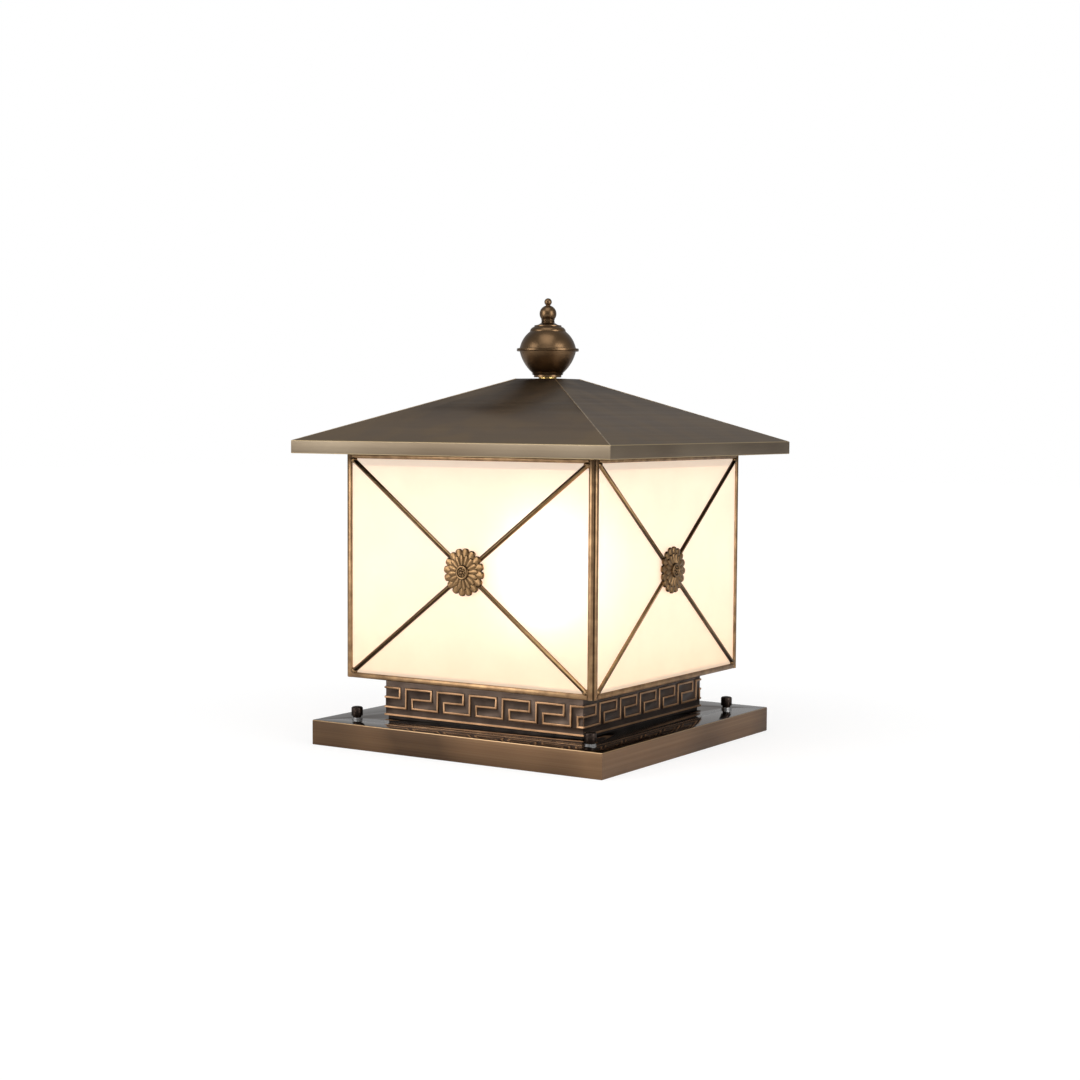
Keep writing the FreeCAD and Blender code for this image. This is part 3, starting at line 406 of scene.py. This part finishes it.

# frosted sheet glass: milky, soft sheen, faint rolled unevenness 25 mm across; a painted glow by
# emission
frosted, tree, shader = new_finish("frosted_sheet_glass", Roughness=0.48, IOR=1.45,
                                   Transmission_Weight=0.6, Emission_Strength=0.38)
rise = add(tree, "ShaderNodeMapRange", {1: pane_low.z, 2: pane_high.z}, {0: level(tree)}).outputs[0]
# painted glow: cream emission, deeper towards the bottom of the panes
painted_glow = ramp(tree, rise, (0.0, "#F6D5B3"), (0.22, "#FFE3CB"), (0.55, "#FFEBDA"), (1.0, "#FFE8D4"))
tree.links.new(painted_glow, shader.inputs["Emission Color"])
rolled = noise(tree, 25.0)
surface(tree, shader, ramp(tree, rolled, (0.3, "#D2C1AD"), (0.7, "#D8C8B4")), None,
        rolled, 0.2, 0.2)
dress(frosted, "glass_panel_front", "glass_panel_right", "glass_panel_back", "glass_panel_left")

# ---------------------------------------------------------------------------
# Diagonal glazing bars.
# Half-round brass bars soldered over the glass from corner to corner, dark
# along their flanks with patina and painted shade, and lighter along the crest, partly rubbed and
# partly a painted highlight.


# the mask by which the bars and rosettes get painted shade and painted highlight
def crest(tree, low, high):
    """0 where the surface turns towards the glass, 1 where it faces straight away from it."""
    turn = add(tree, "ShaderNodeNewGeometry")
    away = add(tree, "ShaderNodeVectorMath", links={0: turn.outputs["Normal"]},
               operation="ABSOLUTE")
    split = add(tree, "ShaderNodeSeparateXYZ", links={0: away.outputs[0]})
    facing = add(tree, "ShaderNodeMath", links={0: split.outputs[0], 1: split.outputs[1]},
                 operation="MAXIMUM").outputs[0]
    return ramp(tree, facing, (low, 0.0), (high, 1.0))


# brass bar: patina and painted shade on its flanks, the crest lighter as wear and painted
# highlight, in 7 mm patches
worn_and_shaded_bar, tree, shader = new_finish("brass_bar_wear_and_painted_shade", Metallic=1.0)
patches = noise(tree, 7.0)
bright = ramp(tree, patches, (0.3, "#8C7150"), (0.7, "#AE8E66"))
# painted shade on faces that turn from the front, painted highlight on the crest
surface(tree, shader, blend(tree, crest(tree, 0.62, 0.86), "#3B2C1E", bright),
        ramp(tree, patches, (0.3, 0.3), (0.7, 0.42)), patches, 0.05, 0.4)
for side in ("front", "right", "back", "left"):
    softened(f"lattice_bars_{side}", f"glazing_bars_{side}", worn_and_shaded_bar, "lantern",
             0.0, smooth=50)

# ---------------------------------------------------------------------------
# Solder joints.
# A flat bead of solder where each glazing bar meets the frame's corner, left
# rounded by the iron and patinated with the rest.

JOINT_R = 3.4
JOINT_INSET_X, JOINT_INSET_Z = 1.6, 1.2
JOINT_SINK = 0.05
bars_low, bars_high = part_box("lattice_bars_front")


def flat_ball(radius, segments, place, squeeze):
    """Ball squeezed along the axes about its own middle."""
    bpy.ops.mesh.primitive_uv_sphere_add(segments=segments, ring_count=8, radius=radius,
                                         location=place)
    ball = bpy.context.object
    bpy.ops.object.mode_set(mode="EDIT")
    bpy.ops.transform.resize(value=squeeze, center_override=place)
    bpy.ops.object.mode_set(mode="OBJECT")
    return ball


def joined(pieces):
    """Joins pieces into the first one and puts its origin at the scene's."""
    bpy.ops.object.select_all(action="DESELECT")
    for piece in pieces:
        piece.select_set(True)
    bpy.context.view_layer.objects.active = pieces[0]
    bpy.ops.object.join()
    bpy.ops.object.transform_apply(location=True, rotation=True, scale=True)
    return bpy.context.object


# patinated tin solder: dull brown-grey with small pits, 1 mm apart
solder, tree, shader = new_finish("patinated_solder", Metallic=1.0)
pits = noise(tree, 1.0)
surface(tree, shader, ramp(tree, pits, (0.3, "#5E4935"), (0.7, "#9B7B57")),
        ramp(tree, pits, (0.3, 0.5), (0.7, 0.3)), pits, 0.15)
for turn_index, side in enumerate(("front", "right", "back", "left")):
    places = [(x, bars_high.y, z)
              for x in (bars_low.x + JOINT_INSET_X * MM, bars_high.x - JOINT_INSET_X * MM)
              for z in (bars_low.z + JOINT_INSET_Z * MM, bars_high.z - JOINT_INSET_Z * MM)]
    joints = joined([flat_ball(JOINT_R * MM, 16, place, (1, 0.62, 0.8)) for place in places])
    bpy.ops.object.mode_set(mode="EDIT")
    bpy.ops.mesh.select_all(action="SELECT")
    bpy.ops.mesh.bisect(plane_co=(0, bars_high.y - JOINT_SINK * MM, 0), plane_no=(0, 1, 0),
                        clear_outer=True, use_fill=True)
    bpy.ops.object.mode_set(mode="OBJECT")
    joints.data.transform(Matrix.Rotation(math.radians(90 * turn_index), 4, "Z"))
    finished(joints, f"solder_joints_{side}", solder, "lantern", smooth=60)

# ---------------------------------------------------------------------------
# Rosettes.
# Two cast brass rings of ribbed petals under a beaded button, soldered on the
# crossing of the bars; dark in the folds with wax and painted shade, and lighter on the ribs,
# partly rubbed and partly a painted highlight.

PETALS = 16
# lanes run from the middle to the edge of a petal, and lane 0 is the notch beside it
LANES = 8
# lane and how far its outer end is drawn in
NOTCHES = ((0, 0.86), (1, 0.95), (7, 0.95), (2, 0.985), (6, 0.985))
# drawing in and lift of each step from a ring's edge towards its middle
SHOULDER = ((0.97, 0.25), (0.92, 0.2), (0.8, 0.1), (0.7, 0.05), (0.6, 0.0), (0.45, 0.0))
RIB_RISE, RIB_END = 0.55, 0.2
# shares of the rosette's radius
UPPER_RING_R, BUTTON_R, ROPE_R = 0.74, 0.25, 0.07
BEADS, BEAD_CIRCLE_R, BEAD_R, MIDDLE_BEAD_R = 7, 0.135, 0.055, 0.075
# shares of its thickness
LOWER_RING_BODY, UPPER_RING_LOW, UPPER_RING_BODY, PETAL_RISE = 0.24, 0.2, 0.22, 0.2
BUTTON_MIDDLE, BUTTON_DEPTH, ROPE_AT, BEADS_AT, MIDDLE_BEAD_AT = 0.55, 0.3, 0.66, 0.74, 0.78

# cast brass with dark wax and painted shade where faces turn from the front, 1.2 mm casting pits,
# ribs lighter as wear and painted highlight
cast, tree, shader = new_finish("cast_antique_brass", Metallic=1.0)
pits = noise(tree, 1.2)
rib_wear_and_highlight = ramp(tree, pits, (0.3, "#6F5739"), (0.7, "#8E7050"))
# painted shade on faces turned from the front, painted highlight on the ribs that face out
surface(tree, shader, blend(tree, crest(tree, 0.66, 0.9), "#2A1E14", rib_wear_and_highlight),
        ramp(tree, pits, (0.3, 0.42), (0.7, 0.28)), pits, 0.06)


def petal_ring(radius, low, body, rise, turned_by):
    """Ring of ribbed petals lying on the level plane, shaped from a circle."""
    bpy.ops.mesh.primitive_circle_add(vertices=PETALS * LANES, radius=radius, fill_type="NOTHING",
                                      location=(0, 0, 0))
    ring = bpy.context.object
    pitch = 2 * math.pi / PETALS

    def lane(co):
        """Which of its petal's lanes a vertex lies in; 0 is the notch."""
        share = (math.atan2(co.y, co.x) / pitch) % 1
        return round(share * LANES) % LANES

    for number, shrink in NOTCHES:
        select_verts(ring, lambda co: lane(co) == number)
        bpy.ops.transform.resize(value=(shrink, shrink, 1), center_override=(0, 0, 0))
    bpy.ops.mesh.select_all(action="SELECT")
    bpy.ops.transform.translate(value=(0, 0, low))
    bpy.ops.mesh.extrude_region_move(TRANSFORM_OT_translate={"value": (0, 0, body)})
    for shrink, lift in SHOULDER:
        bpy.ops.mesh.extrude_region_move(TRANSFORM_OT_translate={"value": (0, 0, lift * rise)})
        bpy.ops.transform.resize(value=(shrink, shrink, 1), center_override=(0, 0, 0))
    bpy.ops.mesh.edge_face_add()
    for number in range(1, LANES):
        arch = math.sin(math.pi * number / LANES)
        select_verts(ring, lambda co: co.z > low + body + 1e-6 and lane(co) == number
                     and co.xy.length > radius * RIB_END)
        bpy.ops.transform.translate(value=(0, 0, RIB_RISE * rise * arch))
    select_verts(ring, lambda co: abs(co.z - low) < 1e-7)
    bpy.ops.mesh.edge_face_add()
    bpy.ops.object.mode_set(mode="OBJECT")
    ring.data.transform(Matrix.Rotation(turned_by, 4, "Z"))
    return ring


low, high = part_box("rosette_front")
middle = (low + high) / 2
radius = (high.x - low.x) / 2
total = high.y - low.y
layers = [petal_ring(radius, 0, LOWER_RING_BODY * total, PETAL_RISE * total,
                     math.pi / PETALS / 2),
          petal_ring(radius * UPPER_RING_R, UPPER_RING_LOW * total, UPPER_RING_BODY * total,
                     PETAL_RISE * total, math.pi / PETALS * 1.5)]
bpy.ops.mesh.primitive_torus_add(major_segments=40, minor_segments=10,
                                 major_radius=radius * BUTTON_R, minor_radius=radius * ROPE_R,
                                 location=(0, 0, ROPE_AT * total))
layers.append(bpy.context.object)
bpy.ops.mesh.primitive_cylinder_add(vertices=32, radius=radius * BUTTON_R,
                                    depth=BUTTON_DEPTH * total,
                                    location=(0, 0, BUTTON_MIDDLE * total))
layers.append(bpy.context.object)
layers.append(flat_ball(radius * MIDDLE_BEAD_R, 12, (0, 0, MIDDLE_BEAD_AT * total), (1, 1, 0.8)))
for k in range(BEADS):
    angle = 2 * math.pi * k / BEADS
    place = (radius * BEAD_CIRCLE_R * math.cos(angle), radius * BEAD_CIRCLE_R * math.sin(angle),
             BEADS_AT * total)
    layers.append(flat_ball(radius * BEAD_R, 12, place, (1, 1, 0.8)))
flower = joined(layers)
# from lying on the level plane to facing forwards on the bars
flower.data.transform(Matrix.Translation((0, high.y, middle.z)) @
                      Matrix.Rotation(math.radians(90), 4, "X"))
for turn_index, side in enumerate(("front", "right", "back", "left")):
    copy = flower.copy()
    copy.data = flower.data.copy()
    bpy.context.scene.collection.objects.link(copy)
    copy.data.transform(Matrix.Rotation(math.radians(90 * turn_index), 4, "Z"))
    finished(copy, f"petal_rosette_{side}", cast, "lantern", smooth=40)
    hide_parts(f"rosette_{side}")
bpy.data.objects.remove(flower)

# ---------------------------------------------------------------------------
# Lampholder and lamp.
# A glazed porcelain E27 holder with a nickel-plated threaded shell, and an opal
# lamp whose cap has a rolled thread; the lamp is lit.

# glazed porcelain: white, wet gloss, barely uneven over 6 mm
porcelain, tree, shader = new_finish("glazed_porcelain", Roughness=0.12, IOR=1.5)
glaze = noise(tree, 6.0)
surface(tree, shader, ramp(tree, glaze, (0.3, "#E6E3D8"), (0.7, "#F1EFE7")), None, glaze, 0.05, 0.3)
dress(porcelain, "lampholder_body")

# nickel-plated brass: bright, faintly warm, 3 mm clouding
nickel, tree, shader = new_finish("nickel_plated_brass", Metallic=1.0)
clouding = noise(tree, 3.0)
surface(tree, shader, ramp(tree, clouding, (0.3, "#B9B4A6"), (0.7, "#D8D4C9")),
        ramp(tree, clouding, (0.3, 0.3), (0.7, 0.18)))
dress(nickel, "lampholder_shell", "lampholder_contact")

# opal lamp envelope, lit: warm white, satin
opal, tree, shader = new_finish("opal_lamp_envelope", Roughness=0.35, Emission_Strength=14.0)
haze = noise(tree, 15.0)
lit = ramp(tree, haze, (0.3, "#FFEAD2"), (0.7, "#FFF1DE"))
tree.links.new(lit, shader.inputs["Emission Color"])
surface(tree, shader, ramp(tree, haze, (0.3, "#F4EFE4"), (0.7, "#FBF8F0")))
dress(opal, "bulb_globe")


def turned_piece(profile, sides=64):
    """Solid of revolution raised from a circle, one step for each (radius, level) in mm."""
    last = profile[0]
    bpy.ops.mesh.primitive_circle_add(vertices=sides, radius=last[0] * MM, fill_type="NGON",
                                      location=(0, 0, last[1] * MM))
    piece = bpy.context.object
    bpy.ops.object.transform_apply(location=True)
    bpy.ops.object.mode_set(mode="EDIT")
    bpy.ops.mesh.select_all(action="SELECT")
    for radius, at in profile[1:]:
        rise = (at - last[1]) * MM
        bpy.ops.mesh.extrude_region_move(TRANSFORM_OT_translate={"value": (0, 0, rise)})
        share = radius / last[0]
        bpy.ops.transform.resize(value=(share, share, 1), center_override=(0, 0, at * MM))
        last = (radius, at)
    bpy.ops.mesh.select_all(action="SELECT")
    bpy.ops.mesh.normals_make_consistent(inside=False)
    bpy.ops.object.mode_set(mode="OBJECT")
    return piece


THREAD_PITCH, THREAD_DEPTH, THREAD_STEPS = 3.6, 1.1, 6
TIP_HEIGHT, THREAD_MARGIN, LIP_INSET = 3.0, 1.0, 0.5
low, high = (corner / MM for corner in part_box("bulb_cap"))
cap_r = (high.x - low.x) / 2
profile = [(cap_r * 0.36, low.z), (cap_r * 0.4, low.z + 0.8), (cap_r * 0.86, low.z + 2.6)]
turns = int((high.z - low.z - (TIP_HEIGHT + THREAD_MARGIN)) / THREAD_PITCH)
for step in range(turns * THREAD_STEPS + 1):
    wave = 0.5 - 0.5 * math.cos(2 * math.pi * step / THREAD_STEPS)
    profile.append((cap_r - THREAD_DEPTH * (1 - wave) - 0.02,
                    low.z + TIP_HEIGHT + THREAD_PITCH * step / THREAD_STEPS))
profile += [(cap_r - LIP_INSET, high.z - 0.6), (cap_r - LIP_INSET, high.z)]
cap = turned_piece(profile, 48)
finished(cap, "threaded_lamp_cap", nickel, "bulb", smooth=40)
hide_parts("bulb_cap")

# ---------------------------------------------------------------------------
# Roof.
# Four brass slopes and a fascia soldered from sheet, brushed along the eaves and
# lacquered dark bronze, darker towards the finial, with painted highlight lines along the fascia's
# edges.

roof_low, roof_high = (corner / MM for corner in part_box("roof_shell"))
FASCIA_H = 10.4
EAVE = roof_low.z + FASCIA_H

# brushed bronze lacquer: brush lines along the sheet, drawn 1.5 mm apart so that they show,
# darker towards the finial; the fascia is paler and both its edges carry painted highlight lines
brushed, tree, shader = new_finish("brushed_bronze_lacquer", Metallic=1.0)
rise = add(tree, "ShaderNodeMapRange", {1: EAVE * MM, 2: roof_high.z * MM},
           {0: level(tree)}).outputs[0]
slope = ramp(tree, rise, (0.0, "#776959"), (0.35, "#76685A"), (0.75, "#625446"), (1.0, "#463A2E"))
streaks = noise(tree, 30.0, detail=1.0, stretch=(1, 1, 0.1))
streaked = blend(tree, ramp(tree, streaks, (0.42, 0.0), (0.62, 0.35)), slope, "#867258")
fascia = level_band(tree, roof_low.z - 5, EAVE - 0.1, 0.1)
drift = noise(tree, 90.0, detail=1.0)
coloured = blend(tree, fascia, streaked, ramp(tree, drift, (0.35, "#6A5D4D"), (0.65, "#807361")))
# painted highlight: pale lines along the fascia's bottom edge and along the eave
for highlight_low, highlight_high in ((roof_low.z - 1, roof_low.z + 0.5), (EAVE - 0.3, EAVE + 0.3)):
    coloured = blend(tree, level_band(tree, highlight_low, highlight_high, 0.12), coloured, "#AE9A78")
lines = noise(tree, 1.5, stretch=(0.006, 0.006, 1))
surface(tree, shader, coloured, ramp(tree, lines, (0.3, 0.5), (0.7, 0.42)), lines, 0.012, 0.35)
softened("roof_shell", "roof_brushed", brushed, "roof", 0.3)
dress(blackened, "roof_soffit")

# ---------------------------------------------------------------------------
# Hip seams.
# A thin run of solder down each hip, filed nearly flush and rubbed bright.

SEAM_R = 0.55
SEAT_HALF = 18.9
EAVE_HALF = roof_high.x - 0.6
start = Vector((SEAT_HALF, -SEAT_HALF, roof_high.z - 0.15)) * MM
end = Vector((EAVE_HALF, -EAVE_HALF, EAVE - 0.05)) * MM
along = end - start

# filed solder line: paler than the sheet, in 5 mm patches
seam, tree, shader = new_finish("filed_solder_seam", Metallic=1.0)
patches = noise(tree, 5.0)
surface(tree, shader, ramp(tree, patches, (0.3, "#8F7C66"), (0.7, "#C4AE8E")),
        ramp(tree, patches, (0.3, 0.4), (0.7, 0.28)), patches, 0.04)
seams = []
for turn_index in range(4):
    bpy.ops.mesh.primitive_cylinder_add(vertices=10, radius=SEAM_R * MM, depth=along.length,
                                        location=(0, 0, 0))
    piece = bpy.context.object
    bpy.ops.object.mode_set(mode="EDIT")
    bpy.ops.mesh.select_all(action="SELECT")
    bpy.ops.transform.resize(value=(1, 0.7, 1), center_override=(0, 0, 0))
    bpy.ops.object.mode_set(mode="OBJECT")
    piece.data.transform(Matrix.Translation((start + end) / 2) @
                         along.to_track_quat("Z", "Y").to_matrix().to_4x4())
    piece.data.transform(Matrix.Rotation(math.radians(90 * turn_index), 4, "Z"))
    seams.append(piece)
finished(joined(seams), "hip_seams", seam, "roof", smooth=60)

# ---------------------------------------------------------------------------
# Finial.
# Turned brass bowls and knob, stacked on the roof stud over a bright washer;
# lacquered bronze with fine turning lines.

FOOT_R, FOOT_HEIGHT = 11.4, 1.7
BOWL_LOW_R, BOWL_HIGH_R, BOWL_BULGE = 13.3, 23.3, 1.5
COLLAR_R, COLLAR_TOP_R, COLLAR_HEIGHT, COLLAR_BULGE = 14.9, 11.2, 4.8, 0.7
SPIGOT_R, FLARE_R, FLARE_HEIGHT = 4.9, 6.2, 1.8
RING_R, RING_HEIGHT, RING_BEADS = 5.6, 3.6, 3
BALL_R, NECK_R, TIP_R = 7.0, 1.9, 3.1

# turned bronze lacquer: dark, satin, clouded over 20 mm, turning lines 0.4 mm apart round the axis
spun, tree, shader = new_finish("turned_bronze_lacquer", Metallic=1.0)
rings = noise(tree, 0.4, stretch=(0.02, 0.02, 1))
clouds = noise(tree, 20.0, detail=1.0)
surface(tree, shader, ramp(tree, clouds, (0.35, "#5A4733"), (0.65, "#6E573F")),
        ramp(tree, rings, (0.3, 0.36), (0.7, 0.28)), rings, 0.012, 0.4)


def bow(low, high, bulge, steps):
    """Points of a bow between two (radius, level) points, its start left out."""
    run, rise = high[0] - low[0], high[1] - low[1]
    length = math.hypot(run, rise)
    points = []
    for k in range(1, steps + 1):
        share = k / steps
        push = 4 * bulge * share * (1 - share) / length
        points.append((low[0] + run * share + rise * push, low[1] + rise * share - run * push))
    return points


def bead_round(radius, low, high, bulge, steps=8):
    """Half-round bead on a turned outline between two levels."""
    middle, half = (low + high) / 2, (high - low) / 2
    return [(radius + bulge * math.sin(math.pi * k / steps),
             middle - half * math.cos(math.pi * k / steps)) for k in range(steps + 1)]


def arc(radius, middle, start, end, steps):
    """Points on a ball centred on the axis, between two angles above its equator."""
    return [(max(radius * math.cos(math.radians(start + (end - start) * k / steps)), 0.02),
             middle + radius * math.sin(math.radians(start + (end - start) * k / steps)))
            for k in range(steps + 1)]


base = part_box("finial_lower_bowl")[0].z / MM
rim_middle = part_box("finial_lower_bowl")[1].z / MM
rim_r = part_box("finial_lower_bowl")[1].x / MM
foot = base + FOOT_HEIGHT
bowl = [(8.0, base), (FOOT_R, base + 0.05), (FOOT_R, foot)]
bowl += bead_round(FOOT_R + 0.5, foot + 0.2, foot + 1.1, 0.9)
bowl += bead_round(FOOT_R + 0.9, foot + 1.2, foot + 2.1, 0.8) + [(BOWL_LOW_R - 0.1, foot + 2.3)]
bowl += bow((BOWL_LOW_R, foot + 2.4), (BOWL_HIGH_R, rim_middle - 1.3), BOWL_BULGE, 14)
bowl += [(rim_r - 0.3, rim_middle - 1.15), (rim_r, rim_middle - 0.8), (rim_r, rim_middle - 0.1),
         (rim_r - 0.2, rim_middle)]
lower = turned_piece(bowl)
finished(lower, "finial_bowl_turned", spun, "finial", smooth=35)
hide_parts("finial_lower_bowl")

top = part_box("finial_upper_bowl")[1].z / MM
collar = top - COLLAR_HEIGHT
cover = [(rim_r - 0.2, rim_middle), (rim_r, rim_middle + 0.15), (rim_r, rim_middle + 0.8),
         (rim_r - 0.35, rim_middle + 1.15), (BOWL_HIGH_R + 0.1, rim_middle + 1.25)]
cover += bow((BOWL_HIGH_R, rim_middle + 1.3), (COLLAR_R, collar - 0.3), BOWL_BULGE, 14)
cover += bow((COLLAR_R, collar), (COLLAR_TOP_R + 0.4, top - 1.2), COLLAR_BULGE, 8)
cover += [(COLLAR_TOP_R + 0.1, top - 0.9), (COLLAR_TOP_R, top - 0.05)]
upper = turned_piece(cover)
finished(upper, "finial_cover_turned", spun, "finial", smooth=35)
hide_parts("finial_upper_bowl")

low, high = (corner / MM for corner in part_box("finial_knob"))
flare_top = top + FLARE_HEIGHT
ball_middle = flare_top + RING_HEIGHT + math.sqrt(BALL_R ** 2 - RING_R ** 2)
ball_top = ball_middle + math.sqrt(BALL_R ** 2 - NECK_R ** 2)
knob = [(SPIGOT_R, low.z), (SPIGOT_R, top), (COLLAR_TOP_R - 0.1, top + 0.02)]
knob += bow((COLLAR_TOP_R, top + 0.1), (FLARE_R, flare_top), -0.5, 8)
for k in range(RING_BEADS):
    at = flare_top + RING_HEIGHT * k / RING_BEADS
    knob += bead_round(RING_R - 0.6, at + 0.05, at + 1.15, 0.65)
knob += arc(BALL_R, ball_middle, -50, 72, 22)
knob += [(NECK_R + 0.1, ball_top), (NECK_R, ball_top + 0.25)]
knob += arc(TIP_R, high.z - TIP_R, -48, 89.6, 14)
top_knob = turned_piece(knob)
finished(top_knob, "finial_knob_turned", spun, "finial", smooth=40)
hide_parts("finial_knob")

# ---------------------------------------------------------------------------
# Floor, light and camera.
# A roll of matt white paper that keeps the lantern's shadow near it, a white surround,
# two tall softboxes at the sides and a wide one above; the camera of the photograph.

# matt white paper; for the camera it glows white, wholly so beyond 0.6 m from the lantern
bpy.ops.mesh.primitive_plane_add(size=12, location=(0, 0, 0))
floor = bpy.context.object
floor.name = "studio_floor"
paper, tree, shader = new_finish("white_paper_floor", Roughness=0.9)
shader.inputs["Base Color"].default_value = srgb("#F2F2F2")
white = add(tree, "ShaderNodeEmission", {"Color": (1, 1, 1, 1), "Strength": 1.05})
place = add(tree, "ShaderNodeTexCoord")
away = add(tree, "ShaderNodeVectorMath", links={0: place.outputs["Object"]}, operation="LENGTH")
share = add(tree, "ShaderNodeMapRange", {1: 0.15, 2: 0.6, 3: 0.7, 4: 1.0},
            {0: away.outputs["Value"]})
path = add(tree, "ShaderNodeLightPath")
seen = add(tree, "ShaderNodeMath", links={0: path.outputs["Is Camera Ray"], 1: share.outputs[0]},
           operation="MULTIPLY")
mixed = add(tree, "ShaderNodeMixShader", links={0: seen.outputs[0], 1: shader.outputs[0],
                                                2: white.outputs[0]})
tree.links.new(mixed.outputs[0],
               [n for n in tree.nodes if n.type == "OUTPUT_MATERIAL"][0].inputs["Surface"])
floor.data.materials.append(paper)

# white surround: full white for the camera, softer where the metal mirrors it
world = bpy.data.worlds.new("white_surround")
bpy.context.scene.world = world
world.use_nodes = True
tree = world.node_tree
tree.nodes.clear()
path = add(tree, "ShaderNodeLightPath")
glare = add(tree, "ShaderNodeMapRange", {3: 0.42, 4: 1.0}, {0: path.outputs["Is Camera Ray"]})
backdrop = add(tree, "ShaderNodeBackground", {"Color": (1, 1, 1, 1)},
               {"Strength": glare.outputs[0]})
add(tree, "ShaderNodeOutputWorld", links={"Surface": backdrop.outputs[0]})


def softbox(name, azimuth, distance, height, size, power):
    """Area lamp that looks at the lantern's middle; azimuth 0 stands in front of it."""
    angle = math.radians(azimuth)
    place = Vector((math.sin(angle) * distance, -math.cos(angle) * distance, height))
    data = bpy.data.lights.new(name, "AREA")
    data.shape = "RECTANGLE"
    data.size, data.size_y = size
    data.energy = power
    lamp = bpy.data.objects.new(name, data)
    lamp.location = place
    lamp.rotation_mode = "QUATERNION"
    lamp.rotation_quaternion = (place - Vector((0, 0, 0.18))).to_track_quat("Z", "Y")
    bpy.context.scene.collection.objects.link(lamp)


softbox("left_softbox", -30, 1.7, 0.5, (0.9, 1.6), 22)
softbox("right_softbox", 84, 1.7, 0.5, (0.9, 1.6), 24)
softbox("top_softbox", 20, 1.0, 2.0, (1.6, 1.6), 14)

FOCAL_MM = 64.45
AZIMUTH, ELEVATION, ROLL = (math.radians(a) for a in (32.722, 3.732, 0.340))
DISTANCE, TARGET_HEIGHT, SIDE_SHIFT = 1.61316, 0.16597, -0.005538
back = Vector((math.sin(AZIMUTH) * math.cos(ELEVATION), -math.cos(AZIMUTH) * math.cos(ELEVATION),
               math.sin(ELEVATION)))
right = Vector((math.cos(AZIMUTH), math.sin(AZIMUTH), 0))
up = back.cross(right)
across = right * math.cos(ROLL) + up * math.sin(ROLL)
upward = up * math.cos(ROLL) - right * math.sin(ROLL)
data = bpy.data.cameras.new("photo_camera")
data.sensor_width = 36
data.lens = FOCAL_MM
camera = bpy.data.objects.new("photo_camera", data)
turn = Matrix((across, upward, back)).transposed().to_4x4()
camera.matrix_world = Matrix.Translation(back * DISTANCE + Vector((0, 0, TARGET_HEIGHT)) +
                                         right * SIDE_SHIFT) @ turn
bpy.context.scene.collection.objects.link(camera)
bpy.context.scene.camera = camera
bpy.context.scene.view_settings.view_transform = "Standard"
